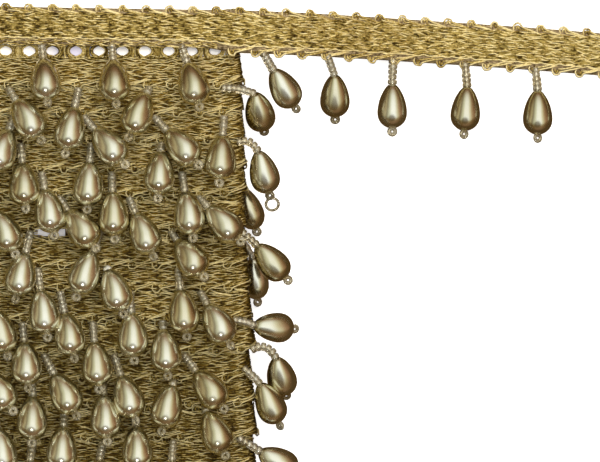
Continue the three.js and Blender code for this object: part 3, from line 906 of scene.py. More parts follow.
def rounded_path(points, steps):
    """A smooth path through control points, with so many steps between each two."""
    before = np.concatenate([2 * points[..., :1, :] - points[..., 1:2, :], points[..., :-2, :]], axis=-2)
    after = np.concatenate([points[..., 2:, :], 2 * points[..., -1:, :] - points[..., -2:-1, :]], axis=-2)
    here, there = points[..., :-1, :], points[..., 1:, :]
    leave, arrive = (there - before) / 2, (after - here) / 2
    samples = []
    for share in np.arange(steps) / steps:
        bend = here * (2 * share**3 - 3 * share**2 + 1) + there * (3 * share**2 - 2 * share**3)
        samples.append(bend + leave * (share**3 - 2 * share**2 + share) + arrive * (share**3 - share**2))
    path = np.stack(samples, axis=-2)
    path = path.reshape(*path.shape[:-3], -1, path.shape[-1])
    return np.concatenate([path, points[..., -1:, :]], axis=-2)


def stitches(control, count, steps):
    """So many copies of one strand of a stitch, each a little different."""
    copies = np.repeat(control[None], count, axis=0)
    copies[..., :2] *= random.uniform(*STITCH_SIZES, (count, 1, 2))
    copies += random.normal(0, STITCH_JITTER, copies.shape)
    return rounded_path(copies, steps)


print("points in a stitch:", stitches(STITCH, 1, 2).shape[1])

# %% Where the picots are
UPPER_SHIFT = 2.5
# no picot lies nearer than this to the start and to the end of a turn
STITCH_ROOM = 7.0
FOLD_ROOM = 2
PICOTS_BEFORE = 20
PICOTS_AFTER = 60


def between(places, low, high):
    """The places that lie between two limits."""
    return places[(places > low) & (places < high)]


def picot_places(first, shift):
    """Places along one turn with a picot, in step with the turn's drops."""
    start = FRONT_FROM - ROLL_EDGE_RADIUS + first + shift
    places = start + PICOT_PITCH * np.arange(-PICOTS_BEFORE, PICOTS_AFTER)
    return between(places, STITCH_ROOM, ROUND - FOLD_ROOM)


def stitch_lots(places, kinds, sides, lay):
    """Stitches at places along an edge. lay: puts a place and a point of a stitch on to the tape."""
    lots = []
    for control, steps, radius, tint_low, tint_high in kinds:
        right, out, up = np.moveaxis(stitches(control, len(places), steps), -1, 0)
        points, outward = lay(places[:, None], right, out, up)
        tint = random.uniform(tint_low, tint_high, len(places))
        lots.append(tubes(points, outward, radius, sides, tint))
    return lots


print("picots in the first turn:", len(picot_places(turns[0]["first"], 0)))

# %% Edges round the roll
EDGE_INSET = 0.25
EDGE_SIDES = 3
# an upper edge that the turn above laps by more than this is hidden
HIDDEN_GAP = -1.2
# the turns whose upper edge lies open, with bars of thread in place of stitches
OPEN_TURNS = (1,)
# a strand's control points, the steps between two of them, its radius, its lowest and its highest tint
FRONT_KINDS = [(STITCH, 2, 0.22, 0.8, 1.3), (FILL, 1, 0.36, 0.0, 0.4), (BESIDE, 2, 0.22, 0.4, 1.1)]
BACK_KINDS = [(STITCH, 1, 0.28, 0.4, 1.0)]


def roll_stitches(turn, places, edge, sign, kinds):
    """Stitches along one edge of a turn. sign: -1 for its lower edge, 1 for its upper one."""

    def lay(place, right, out, up):
        return on_roll(turn, place - right, edge + sign * out, up)

    return stitch_lots(places, kinds, EDGE_SIDES, lay)


front_lots = []
back_lots = []
for turn, row in enumerate(turns):
    edges = [(EDGE_INSET, -1, 0)]
    if row["step"] - BRAID_WIDTH > HIDDEN_GAP:
        edges.append((BRAID_WIDTH - EDGE_INSET, 1, UPPER_SHIFT))
    for edge, sign, shift in edges:
        places = picot_places(row["first"], shift)
        on_front = places < BACK_FROM
        if turn > 0 and not (turn in OPEN_TURNS and sign > 0):
            front_lots += roll_stitches(turn, places[on_front], edge, sign, FRONT_KINDS)
        back_lots += roll_stitches(turn, places[~on_front], edge, sign, BACK_KINDS)
make_piece("front_edges", front_lots, gold)
make_piece("back_edges", back_lots, gold)

# %% [markdown]
# Where two turns part, the picots of the upper one stay caught on the lower one and stretch into short
# bars of thread, with the card showing between them. The holes could be cut out of a sheet, but their
# rims are thread. So each bar is a few strands that lie close in its middle and spread at both ends.

# %% Bars of thread across the open gaps
BAR_STRANDS = 13
BAR_OVERLAP = 0.6
BAR_STEPS = 15
BAR_RADIUS = 0.27
BAR_PROUD = 0.2
BAR_RISE = 0.5
BAR_SIDE_JITTER = 0.05
BAR_RISE_JITTER = 0.1
BAR_TINTS = (0.1, 0.8)
HOLE_HALF_WIDTH = 1.85
HOLE_HALF_HEIGHT = 1.4
HOLE_UP = 1.4


def gap_bars(turn):
    """The bars between one turn and the turn above, in step with the picots of the turn above."""
    gap = turns[turn]["step"] - BRAID_WIDTH
    places = picot_places(turns[turn - 1]["first"], 0)
    places = np.repeat(places[places < BACK_FROM], BAR_STRANDS)
    beside = np.tile(np.linspace(-1, 1, BAR_STRANDS), len(places) // BAR_STRANDS)
    beside = beside + random.normal(0, BAR_SIDE_JITTER, len(beside))
    up = np.linspace(-BAR_OVERLAP, gap + BAR_OVERLAP, BAR_STEPS)
    hole_share = np.clip((up - HOLE_UP) / HOLE_HALF_HEIGHT, -1, 1)
    half_width = PICOT_PITCH / 2 - HOLE_HALF_WIDTH * np.sqrt(1 - hole_share**2)
    along = places[:, None] + beside[:, None] * half_width
    proud = BAR_PROUD + BAR_RISE * up / gap + random.normal(0, BAR_RISE_JITTER, (len(along), 1))
    points, outward = on_roll(turn, along, BRAID_WIDTH + up, proud)
    return tubes(points, outward, BAR_RADIUS, EDGE_SIDES, random.uniform(*BAR_TINTS, len(along)))


make_piece("gap_threads", [gap_bars(turn) for turn in OPEN_TURNS], gold)

# %% [markdown]
# ## Drops
#
# Each drop is a thread from a picot, a few seed beads, a teardrop pearl and a stopper bead that is
# threaded sideways. A string of jointed pieces could be dropped in a physics run, but the photograph
# tells how each one lies. So its facts are written down: the root, a bend in the string, the neck of
# the pearl and the pearl's direction. The teardrop's outline is a short table of radius against length,
# and it also tells how high the neck has to be for the pearl's belly to rest on what lies below it.

# %% The teardrop's outline
# place along the pearl and radius there, as shares of its length and of its widest radius
PEARL_OUTLINE = np.array(
    [
        (0.0, 0.17),
        (0.012, 0.31),
        (0.10, 0.53),
        (0.22, 0.73),
        (0.36, 0.89),
        (0.50, 0.985),
        (0.62, 1.02),
        (0.75, 0.98),
        (0.86, 0.82),
        (0.94, 0.56),
        (0.985, 0.29),
        (1.0, 0.09),
    ]
)


def belly_depth(rise, radius=PEARL_RADIUS):
    """How far a pearl that rises from its neck, in degrees, reaches below that neck."""
    climb = PEARL_OUTLINE[:, 0] * PEARL_LENGTH * np.sin(np.radians(rise))
    return float(np.max(PEARL_OUTLINE[:, 1] * radius * np.cos(np.radians(rise)) - climb))


print("neck above the rest where the pearl lies level:", round(belly_depth(0), 2), "mm")

# %% Directions, and the drops of the front
# how high the strands stand on the front, and the roots of the strings
STRAND_TOP = 0.6
STRING_ROOT_RISE = 0.5
FRONT_PEARL_RADIUS = 4.2
# how far the pearls rise from their necks, in degrees, and how much that varies
FRONT_RISE = 10
FIRST_TURN_RISE = 20
RISE_SPREAD = 4


def leaning(lean, rise):
    """Straight down the sheet, turned to the right by lean and out of it by rise, in degrees."""
    lean, rise = np.radians([lean, rise])
    return np.array([np.sin(lean) * np.cos(rise), -np.cos(lean) * np.cos(rise), np.sin(rise)])


def drop(root, neck, axis, bend=None, radius=PEARL_RADIUS, ring=0):
    """The facts of one drop. ring: the radius of a loose glass ring at its end, or 0."""
    bend = (root + neck) / 2 if bend is None else bend
    return {"root": root, "bend": bend, "neck": neck, "axis": axis, "radius": radius, "ring": ring}


def face_drop(x, y, lean, drawn_up, rise):
    """A drop that lies on the front, its root at the lower edge of a turn."""
    root = np.array([x, y, front_level + STRING_ROOT_RISE])
    neck = root + leaning(lean, 0) * (STRING_LENGTH - drawn_up) * np.cos(np.radians(FRONT_RISE))
    neck[2] = front_level + STRAND_TOP + belly_depth(rise, FRONT_PEARL_RADIUS)
    return drop(root, neck, leaning(lean, rise), radius=FRONT_PEARL_RADIUS)


front_drops = []
for turn, row in enumerate(turns):
    for place, (lean, drawn_up) in enumerate(zip(row["lean"], row["up"])):
        x = roll_right_x - row["first"] - place * DROP_PITCH
        rise = random.normal(FRONT_RISE if turn else FIRST_TURN_RISE, RISE_SPREAD)
        front_drops.append(face_drop(x, lower_edges[turn] - BELOW_EDGE, lean, drawn_up, rise))
print("drops on the front:", len(front_drops))

# %% [markdown]
# Where a turn folds over the roll's right side, its drop has slipped off the front and hangs past the
# side. No rule gives these, so each has a row of its own: where its string starts and ends, how its
# pearl leans and dips, and how far its string arches.

# %% Drops that hang past the right side
# root and out: the string's start and end from the roll's right side; root_up: its start above the
# turn's lower edge; neck_down: its end below its start; lean and dip: the pearl's, in degrees; arch:
# how far the string's bend stands above a straight line; ring: the radius of a loose glass ring that
# hangs from the stopper, or 0
SIDE_COLUMNS = ("turn", "root", "root_up", "out", "neck_down", "lean", "dip", "arch", "ring")
SIDE_ROWS = [
    (2, -6.3, 0.3, 2.7, 1.7, 14, 36, 1.0, 0),
    (4, -2.2, 0.3, 3.6, 2.5, 15, 18, 3.4, 1.75),
    (7, -1.1, 0.0, 3.3, 3.8, 42, 12, 0.4, 0),
    (10, -3.3, 0.8, 2.7, 1.6, 85, 32, 0.6, 0),
    (11, 1.6, 1.4, 8.5, 2.5, 15, 34, 4.2, 0),
    (12, -0.5, 4.1, 4.2, 4.5, 25, 12, 0.3, 0),
    (14, -1.9, 0.9, 4.2, 3.9, 60, 20, 0.3, 0),
]
# the string's start above the front and its end below that
SIDE_STRING_RISE = 0.35
SIDE_STRING_FALL = 0.9
# where along the string it bends, and how far that lifts it
SIDE_BEND_SHARE = 0.65
SIDE_BEND_LIFT = 0.4
side_drops = []
for values in SIDE_ROWS:
    row = dict(zip(SIDE_COLUMNS, values))
    edge = lower_edges[row["turn"] - 1] - BELOW_EDGE + row["root_up"]
    root = np.array([roll_right_x + row["root"], edge, front_level + SIDE_STRING_RISE])
    neck = root + [row["out"] - row["root"], -row["neck_down"], -SIDE_STRING_FALL]
    bend = root + (neck - root) * SIDE_BEND_SHARE + [0, row["arch"], SIDE_BEND_LIFT]
    side_drops.append(drop(root, neck, leaning(row["lean"], -row["dip"]), bend, ring=row["ring"]))
print("drops past the side:", len(side_drops))

# %% [markdown]
# The back has the same drops, and the roll lies on their pearls. They are hidden in the photograph, so
# a plain stagger from turn to turn sets them out. Two of them peek out past the right side, and those
# have their own leans.

# %% Drops of the back
BACK_RISE = 17.1
BACK_PEARL_RADIUS = 3.2
PEEK_PEARL_RADIUS = 3.6
BACK_DROPS_PER_TURN = 5
BACK_FIRST = 8
BACK_STAGGER_PARTS = 3
# the leans swing between this and its opposite, in degrees, by this step from drop to drop
BACK_LEAN = 1.5
BACK_LEAN_STEP = 2.4
# how far the border that carries the drops ends before the roll's side
STRIP_INSET = 0.8
BACK_START = -ROLL_HALF_WIDTH + STRIP_INSET + ROLL_EDGE_RADIUS
PEEK_START = -ROLL_HALF_WIDTH + 2 * STRIP_INSET
PEEK_INSET = 0.9
# clearance between the pearls and the table
ABOVE_TABLE = 0.05
# the peeking drops by turn: the string's lean and the pearl's to the right, and how far the string is
# drawn up
PEEKING = {3: (22, 18, 0.3), 5: (32, 6, -3.6)}


def back_drop(turn, seen_x, lean, pearl_lean, drawn_up=0, radius=BACK_PEARL_RADIUS):
    """A drop under the back, its pearl on the table. seen_x and both leans are as seen from the back."""
    fall = lower_edges[turn + 1] - lower_edges[turn]
    middle = (lower_edges[turn] + lower_edges[turn + 1]) / 2
    y = middle - BELOW_EDGE - seen_x * fall / (2 * ROLL_HALF_WIDTH)
    string = leaning(-lean, -BACK_RISE) * (STRING_LENGTH - drawn_up)
    neck_height = ABOVE_TABLE + belly_depth(-BACK_RISE, radius)
    root = np.array([roll_middle_x - seen_x, y, neck_height - string[2]])
    return drop(root, root + string, leaning(-pearl_lean, -BACK_RISE), radius=radius)


back_drops = []
for turn in range(len(turns)):
    first = BACK_FIRST + (turn % BACK_STAGGER_PARTS) * DROP_PITCH / BACK_STAGGER_PARTS
    clear_of = PEEK_START + DROP_PITCH if turn in PEEKING else BACK_START + PEARL_RADIUS
    for place in range(BACK_DROPS_PER_TURN):
        seen_x = ROLL_HALF_WIDTH - first - place * DROP_PITCH
        if seen_x >= clear_of:
            lean = BACK_LEAN * np.sin(BACK_LEAN_STEP * (turn + place))
            back_drops.append(back_drop(turn, seen_x, lean, lean))
for turn, (lean, pearl_lean, drawn_up) in PEEKING.items():
    seen_x = PEEK_START + PEEK_INSET
    back_drops.append(back_drop(turn, seen_x, -lean, -pearl_lean, drawn_up, PEEK_PEARL_RADIUS))
print("drops on the back:", len(back_drops))

# %% [markdown]
# The loose end sinks from the roll to the table, and its drops with it. The first two hang down from
# it, and the pearls of the others lie on the table. For those the fall of the string follows from the
# height of its root and of the pearl's neck.

# %% Drops of the loose end
# along: from the roll's right side; string: its length; string_lean and pearl_lean: to the right, in
# degrees; dip: how steeply the drop hangs, in degrees, or None where its pearl lies on the table
LOOSE_COLUMNS = ("along", "string", "string_lean", "pearl_lean", "dip")
LOOSE_ROWS = [
    (4.8, 6.2, 30, 31, 20),
    (22.4, 6.5, 20, 1, 22),
    (40.6, 7.2, -2, 0, None),
    (60.5, 7.2, 4, -4, None),
    (79.9, 6.9, 4, 0, None),
    (100.1, 6.9, 10, 14, None),
]
TABLE_RISE = 1
ROOT_INSET = 0.6
ROOT_DOWN = BRAID_WIDTH + BORDER + LOOSE_SPREAD - ROOT_INSET
LOWEST_ROOT = 1.45
table_neck = ABOVE_TABLE + belly_depth(TABLE_RISE)
loose_drops = []
for values in LOOSE_ROWS:
    row = dict(zip(LOOSE_COLUMNS, values))
    root = loose_line(row["along"]) - [0, ROOT_DOWN, 0]
    root[2] = max(root[2], LOWEST_ROOT)
    string_dip = row["dip"]
    pearl_rise = TABLE_RISE
    if row["dip"] is None:
        string_dip = np.degrees(np.arcsin((root[2] - table_neck) / row["string"]))
    else:
        pearl_rise = -row["dip"]
    neck = root + leaning(row["string_lean"], -string_dip) * row["string"]
    loose_drops.append(drop(root, neck, leaning(row["pearl_lean"], pearl_rise)))
print("drops of the loose end:", len(loose_drops))

# %% [markdown]
# Seed beads are short barrels set end to end along the string. They are clear, and the thread shines
# through. Spheres would be quicker, but barrels leave the narrow dark seams that tell one bead from the
# next. Beads and pearls come from one function that turns an outline round an axis.

# %% Forms turned round an axis
# an axis that goes up by more than this share of its length needs another direction across
STEEP = 0.9
UPWARD = np.array([0.0, 0.0, 1.0])
SIDEWAYS = np.array([1.0, 0.0, 0.0])


def turned_forms(outline, origins, axes, lengths, radii, sides, tint):
    """Round forms on straight axes, such as pearls and barrels."""
    origins, axes = np.array(origins), unit(np.array(axes))
    lengths, radii = (np.broadcast_to(value, len(origins)) for value in (lengths, radii))
    paths = origins[:, None] + axes[:, None] * (outline[:, 0][None] * lengths[:, None])[..., None]
    radius = outline[:, 1][None] * radii[:, None]
    ahead = np.repeat(axes[:, None], len(outline), axis=1)
    across = np.where(np.abs(axes[:, 2:]) < STEEP, UPWARD, SIDEWAYS)
    return tubes(paths, np.repeat(across[:, None], len(outline), axis=1), radius, sides, tint, ahead)


def pearl_lot(drops, outline_steps, sides):
    """The pearls of a list of drops."""
    outline = rounded_path(PEARL_OUTLINE, outline_steps)
    necks = [one["neck"] for one in drops]
    axes = [one["axis"] for one in drops]
    radii = np.array([one["radius"] for one in drops])
    tint = random.uniform(0, 1, len(drops))
    return turned_forms(outline, necks, axes, PEARL_LENGTH, radii, sides, tint)


print("rings of a pearl:", len(rounded_path(PEARL_OUTLINE, 2)))

# %% Seed beads and the thread inside them
# place along a bead and radius there, as shares of its length and of its widest radius
SEED_OUTLINE = np.array(
    [
        (0.0, 0.35),
        (0.01, 0.82),
        (0.17, 0.97),
        (0.5, 1.0),
        (0.83, 0.97),
        (0.99, 0.82),
        (1.0, 0.35),
    ]
)
SEED_RADIUS = 1.2
SEED_SIZES = (0.9, 1.08)
SEED_PITCH = 1.35
SEED_LENGTH = 0.98 * SEED_PITCH
STRING_STEPS = 25
THREAD_RADIUS = 0.42
THREAD_SIDES = 4
THREAD_STEPS = 7
MIDDLE_TINT = 0.5


def string_path(one, steps):
    """Points along a drop's string, from its root over its bend to the neck."""
    share = np.linspace(0, 1, steps)[:, None]
    return one["root"] * (1 - share) ** 2 + one["bend"] * 2 * share * (1 - share) + one["neck"] * share**2


def seed_places(one):
    """Middles and directions of the seed beads on a drop's string."""
    path = string_path(one, STRING_STEPS)
    spans = np.linalg.norm(np.diff(path, axis=0), axis=1)
    travelled = np.concatenate([[0], np.cumsum(spans)])
    count = int(round(travelled[-1] / SEED_PITCH))
    at_bead = (np.arange(count) + 0.5) * travelled[-1] / max(count, 1)
    slopes = np.gradient(path, axis=0)
    middle = np.stack([np.interp(at_bead, travelled, column) for column in path.T], axis=-1)
    ahead = np.stack([np.interp(at_bead, travelled, column) for column in slopes.T], axis=-1)
    return middle, ahead


def bead_lot(drops, sides):
    """The seed beads on the strings of a list of drops."""
    seeds = [seed_places(one) for one in drops]
    middles = np.concatenate([middle for middle, _ in seeds])
    aheads = unit(np.concatenate([ahead for _, ahead in seeds]))
    starts = middles - aheads * SEED_PITCH / 2
    radii = SEED_RADIUS * random.uniform(*SEED_SIZES, len(starts))
    tint = random.uniform(0, 1, len(starts))
    return turned_forms(SEED_OUTLINE, starts, aheads, SEED_LENGTH, radii, sides, tint)


def thread_lot(drops):
    """The threads inside the seed beads."""
    strings = np.stack([string_path(one, THREAD_STEPS) for one in drops])
    upward = np.broadcast_to(UPWARD, strings.shape)
    return tubes(strings, upward, THREAD_RADIUS, THREAD_SIDES, np.full(len(drops), MIDDLE_TINT))


print("seed beads on the first string:", len(seed_places(front_drops[0])[0]))

# %% [markdown]
# A stopper is a small ring of glass that keeps the pearl on its thread. It lies nearly flat, so that it
# is seen through its hole. Blender has a torus to add, but the tube that bends round into a ring is at
# hand and makes all the stoppers at once. A larger loose ring hangs from one of them.

# %% Stoppers, and all the pieces of a list of drops
STOPPER_RADIUS = 0.85
STOPPER_WIRE = 0.58
STOPPER_STEPS = 12
STOPPER_TILT = 0.35
RING_WIRE = 0.4
RING_STEPS = 24
WIRE_SIDES = 6


def glass_rings(drops, distance, radius, wire, steps):
    """Small glass rings past the ends of the pearls, lying nearly flat."""
    turn = 2 * np.pi * np.arange(steps + 1) / steps
    axes = np.array([one["axis"] for one in drops])
    middle = np.array([one["neck"] for one in drops]) + axes * (PEARL_LENGTH + distance)
    flat = np.cross(axes, UPWARD)
    other = unit(flat + random.normal(0, STOPPER_TILT, (len(axes), 1)) * UPWARD)
    ring = axes[:, None] * np.cos(turn)[:, None] + other[:, None] * np.sin(turn)[:, None]
    ahead = other[:, None] * np.cos(turn)[:, None] - axes[:, None] * np.sin(turn)[:, None]
    paths = middle[:, None] + ring * radius
    return tubes(paths, ring, wire, WIRE_SIDES, random.uniform(0, 1, len(drops)), ahead)


def stopper_lots(drops):
    """A stopper at every pearl, and the loose rings that hang from some."""
    lots = [glass_rings(drops, STOPPER_RADIUS, STOPPER_RADIUS, STOPPER_WIRE, STOPPER_STEPS)]
    for one in drops:
        if one["ring"]:
            distance = 2 * STOPPER_RADIUS + one["ring"]
            lots.append(glass_rings([one], distance, one["ring"], RING_WIRE, RING_STEPS))
    return lots


def make_drops(name, drops, outline_steps, pearl_sides, bead_sides):
    """Pearls, beads, stoppers and threads of a list of drops, as four pieces."""
    return [
        make_piece(f"{name}_pearls", [pearl_lot(drops, outline_steps, pearl_sides)], lustre),
        make_piece(f"{name}_beads", [bead_lot(drops, bead_sides)], glass),
        make_piece(f"{name}_stoppers", stopper_lots(drops), clear_glass),
        make_piece(f"{name}_threads", [thread_lot(drops)], thread),
    ]


print("a stopper's full width:", round(2 * (STOPPER_RADIUS + STOPPER_WIRE), 2), "mm")

# %% Make the drops of the roll
front_pieces = make_drops("front", front_drops, outline_steps=2, pearl_sides=24, bead_sides=10)
side_pieces = make_drops("side", side_drops, outline_steps=2, pearl_sides=32, bead_sides=12)
back_pieces = make_drops("back", back_drops, outline_steps=1, pearl_sides=16, bead_sides=6)
turn_numbers = range(1, len(turns) + 1)
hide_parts(*[f"front_drops_{number:02d}" for number in turn_numbers])
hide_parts(*[f"back_drops_{number:02d}" for number in turn_numbers])

# %% [markdown]
# ## The loose end
#
# The loose end is the same braid off the roll, so its strands, stitches and drops come from the same
# functions. Its cloth is a thin tape in its middle. A flat plane would have no thickness to be seen at
# the cut, so the tape is a closed band with a lace strip along both sides of its body.

# %% The loose end's tape
TAPE_THICKNESS = 0.4
TAPE_STEP = 1.5
TAPE_CORNERS = 8
# the corners of the three quads that close an end of the band, and which sides and quads are lace
TAPE_END = [[0, 7, 6, 1], [1, 6, 5, 2], [2, 5, 4, 3]]
SIDE_IS_LACE = [1, 0, 1, 1, 1, 0, 1, 1]
END_IS_LACE = [1, 0, 1]
tape_along = np.append(np.arange(LOOSE_START, LOOSE_LENGTH, TAPE_STEP), LOOSE_LENGTH)


def loose_tape_part():
    """Points, quads, UV corners and tints of the band."""
    half = TAPE_THICKNESS / 2
    columns = [-LOWER_LACE, 0, BRAID_WIDTH, BRAID_WIDTH + UPPER_LACE]
    corners = [(across, -half) for across in columns] + [(across, half) for across in columns[::-1]]
    rings = np.stack([on_loose(tape_along, across, proud)[0] for across, proud in corners], axis=1)
    index = np.arange(len(rings) * TAPE_CORNERS).reshape(-1, TAPE_CORNERS)
    near, far = index[:-1], index[1:]
    walls = np.stack([near, np.roll(near, -1, axis=1), np.roll(far, -1, axis=1), far], axis=-1)
    ends = [index[0][quad] for quad in TAPE_END] + [index[-1][quad[::-1]] for quad in TAPE_END]
    u = np.linspace(0, 1, len(rings))
    corner_u = np.stack([u[:-1], u[:-1], u[1:], u[1:]], axis=-1)[:, None]
    corner_v = (np.arange(TAPE_CORNERS)[:, None] + [0, 1, 1, 0]) / TAPE_CORNERS
    wall_uv = np.stack(np.broadcast_arrays(corner_u, corner_v), axis=-1).reshape(-1, 4, 2)
    uv = np.concatenate([wall_uv, np.zeros((len(ends), 4, 2))])
    quads = np.concatenate([walls.reshape(-1, 4), ends])
    return rings.reshape(-1, 3), quads, uv, np.full(index.size, MIDDLE_TINT)


loose_tape = make_piece("loose_tape", [loose_tape_part()], loose_ground)
loose_tape.data.materials.append(lace)
finish_of_face = np.concatenate([np.tile(SIDE_IS_LACE, len(tape_along) - 1), END_IS_LACE, END_IS_LACE])
loose_tape.data.polygons.foreach_set("material_index", finish_of_face)
print("faces of the lace strips:", finish_of_face.sum())

# %% [markdown]
# The body of the loose end has the same wandering strands as the roll, a little thicker because nothing
# presses on them. Their tint is painted lighter towards the cut and darker near the roll: painted light.
# The same function draws them, and the loose end's own map lays them down. One plain strand runs along
# the lower edge of the body. On the roll the lower lace border lies flat, and a few loose strands show
# what it is made of.

# %% Strands of the loose end
LOOSE_STEP = 0.5
LOOSE_SIDES = 4
LOOSE_STRAND_RADIUS = 0.20
BODY_STRANDS = 21
# the strands are those of the tape so many turns before the first one
TURNS_BEFORE = 3
# painted light: the change of tint at the start of the loose end and at its cut
LOOSE_PAINTED_LIGHT = (-0.2, 0.08)
loose_along = np.append(np.arange(LOOSE_START, LOOSE_LENGTH, LOOSE_STEP), LOOSE_LENGTH)
across, proud, tint = wandering_strands(loose_along - TURNS_BEFORE * ROUND)
points, outward = on_loose(loose_along, across[:BODY_STRANDS], proud[:BODY_STRANDS])
loose_share = smooth((loose_along - LOOSE_START) / (LOOSE_LENGTH - LOOSE_START))
# painted light, lighter towards the cut
tint = tint[:BODY_STRANDS] + np.interp(loose_share, (0, 1), LOOSE_PAINTED_LIGHT)
loose_lots = [tubes(points, outward, LOOSE_STRAND_RADIUS, LOOSE_SIDES, tint)]
print("strands of the loose end:", len(points))

# %% Strands of its lower border
BORDER_ACROSS = 0.1
BORDER_PROUD = 0.35
BORDER_TINT = 1.1
LACE_STRANDS = 5
LACE_PITCH = 0.36
LACE_PROUD = 0.2
LACE_TINT = 0.6
border_across = BORDER_ACROSS + waves(RISE_AND_FALL, loose_along)[:1]
points, outward = on_loose(loose_along, border_across, BORDER_PROUD)
loose_lots.append(tubes(points, outward, LOOSE_STRAND_RADIUS, LOOSE_SIDES, [BORDER_TINT]))
lace_along = loose_along[loose_along < -STITCH_ROOM]
lace_middle = -LACE_PITCH * np.arange(1, LACE_STRANDS + 1)
lace_across = lace_middle[:, None] + waves(WANDER, lace_along)[:LACE_STRANDS]
lace_proud = LACE_PROUD + waves(RISE_AND_FALL, lace_along)[:LACE_STRANDS]
lace_tint = LACE_TINT + waves(PAINTED_GLINTS, lace_along)[:LACE_STRANDS]
points, outward = on_loose(lace_along, lace_across, lace_proud)
loose_lots.append(tubes(points, outward, STRAND_RADIUS, LOOSE_SIDES, lace_tint))
print("strands of the lace border:", len(points))

# %% [markdown]
# The picots of the loose end stand free against the table, so their strands are thicker and have more
# sides than those of the roll. The control points of the stitches serve again, only the map is another.
# Along the lower edge the picots start where the braid leaves the roll, and along the upper edge they
# run its whole length.

# %% Picots and drops of the loose end
LOOSE_KINDS = [(STITCH, 2, 0.28, 0.5, 1.1), (FILL, 1, 0.4, 0.2, 0.7), (BESIDE, 2, 0.24, 0.5, 1.1)]
LOOSE_PICOT_PHASE = 2.8
LOOSE_UPPER_SHIFT = 2.1
LOOSE_PICOTS = 16
START_ROOM = 2
STITCH_SINK = 0.15
picots = LOOSE_PICOT_PHASE + PICOT_PITCH * np.arange(-LOOSE_PICOTS, LOOSE_PICOTS + 1)
last_picot = LOOSE_LENGTH - STITCH_ROOM


def loose_stitches(places, edge, sign):
    """Stitches along one edge of the loose end. sign: -1 for its lower edge, 1 for its upper one."""

    def lay(place, right, out, up):
        return on_loose(place + right, edge + sign * out, up - STITCH_SINK)

    return stitch_lots(places, LOOSE_KINDS, LOOSE_SIDES, lay)


lower_picots = between(picots, -STITCH_ROOM, last_picot)
upper_picots = between(picots + LOOSE_UPPER_SHIFT, LOOSE_START + START_ROOM, last_picot)
loose_lots += loose_stitches(lower_picots, EDGE_INSET - LOWER_LACE, -1)
loose_lots += loose_stitches(upper_picots, BRAID_WIDTH + UPPER_LACE - EDGE_INSET, 1)
loose_braid = make_piece("loose_braid", loose_lots, gold)
loose_pieces = make_drops("loose", loose_drops, outline_steps=2, pearl_sides=32, bead_sides=12)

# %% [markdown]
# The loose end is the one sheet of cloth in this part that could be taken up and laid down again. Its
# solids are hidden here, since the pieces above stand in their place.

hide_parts("loose_end")
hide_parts("loose_end_drops")

# %% [markdown]
# ## Table and camera
#
# The trim lies on a plain table that is nearly white. Light from above would make it white too, but
# then it would light the trim as well. So it gives off its own light, and it is left out of
# reflections: the sides of the pearls and strands mirror the dark room in its place.

# %% Table
# half the table's width, in metres
TABLE_HALF = 3.0
TABLE_TONES = [(0.3, (0.86, 0.86, 0.86)), (0.7, (0.9, 0.9, 0.9))]
TABLE_WHITE = (1, 1, 1, 1)
TABLE_GLOW = 0.8
corners = [(x * TABLE_HALF, y * TABLE_HALF, 0) for x, y in [(-1, -1), (1, -1), (1, 1), (-1, 1)]]
table_mesh = bpy.data.meshes.new("table")
table_mesh.from_pydata(corners, [], [(0, 1, 2, 3)])
table = bpy.data.objects.new("table", table_mesh)
bpy.context.scene.collection.objects.link(table)
table_finish, nodes, links, shader = new_finish("pale_table")
grain = add_noise(nodes, links, scale=40, detail=3)
links.new(add_ramp(nodes, links, grain, TABLE_TONES), shader.inputs["Base Color"])
shader.inputs["Roughness"].default_value = 0.8
shader.inputs["Emission Color"].default_value = TABLE_WHITE
shader.inputs["Emission Strength"].default_value = TABLE_GLOW
table_mesh.materials.append(table_finish)
table.visible_glossy = False
table.visible_diffuse = False
table.visible_transmission = False
print("table:", 2 * TABLE_HALF, "m wide")

# %% [markdown]
# The photograph looks straight down from far off, since the loose end is as large at its cut as at the
# roll. A camera far above with a long lens does the same. Where it aims and how much it takes in follow
# from three places in the photograph and the length that one pixel covers.

# %% Camera
# pixels of the photograph: its middle, the roll's right side and the roll's upper edge
MIDDLE_PIXEL = (300, 231)
RIGHT_SIDE_PIXEL = 245
TOP_PIXEL = 12
IMAGE_WIDTH = 600
MM_PER_PIXEL = 0.2727
CAMERA_DISTANCE = 1500
# how far the camera sees, in metres
CAMERA_REACH = 20
aim_x = roll_right_x + (MIDDLE_PIXEL[0] - RIGHT_SIDE_PIXEL) * MM_PER_PIXEL
aim_y = roll_top - (MIDDLE_PIXEL[1] - TOP_PIXEL) * MM_PER_PIXEL
picture_middle = Vector((aim_x, aim_y, front_level)) * MM
camera_data = bpy.data.cameras.new("camera")
camera_data.lens = camera_data.sensor_width * CAMERA_DISTANCE / (IMAGE_WIDTH * MM_PER_PIXEL)
camera_data.clip_end = CAMERA_REACH
camera = bpy.data.objects.new("camera", camera_data)
camera.location = picture_middle + Vector((0, 0, CAMERA_DISTANCE * MM))
bpy.context.scene.collection.objects.link(camera)
bpy.context.scene.camera = camera
bpy.context.scene.view_settings.view_transform = "Standard"
print("lens:", round(camera_data.lens, 1), "mm")

# %% [markdown]
# ## The room
#
# A pearl is a small round mirror, so the room is what gives it its look. Along each pearl runs a
# streak: the light of a broad window that arches over the trim, uneven in colour and narrower towards
# the far end of the arch. Its sides are olive and then brown, where the room is dark and warm. A
# photograph of a room could be wrapped round the world, but two short rows of colours say it all: one
# along the arch and one across it, multiplied together.

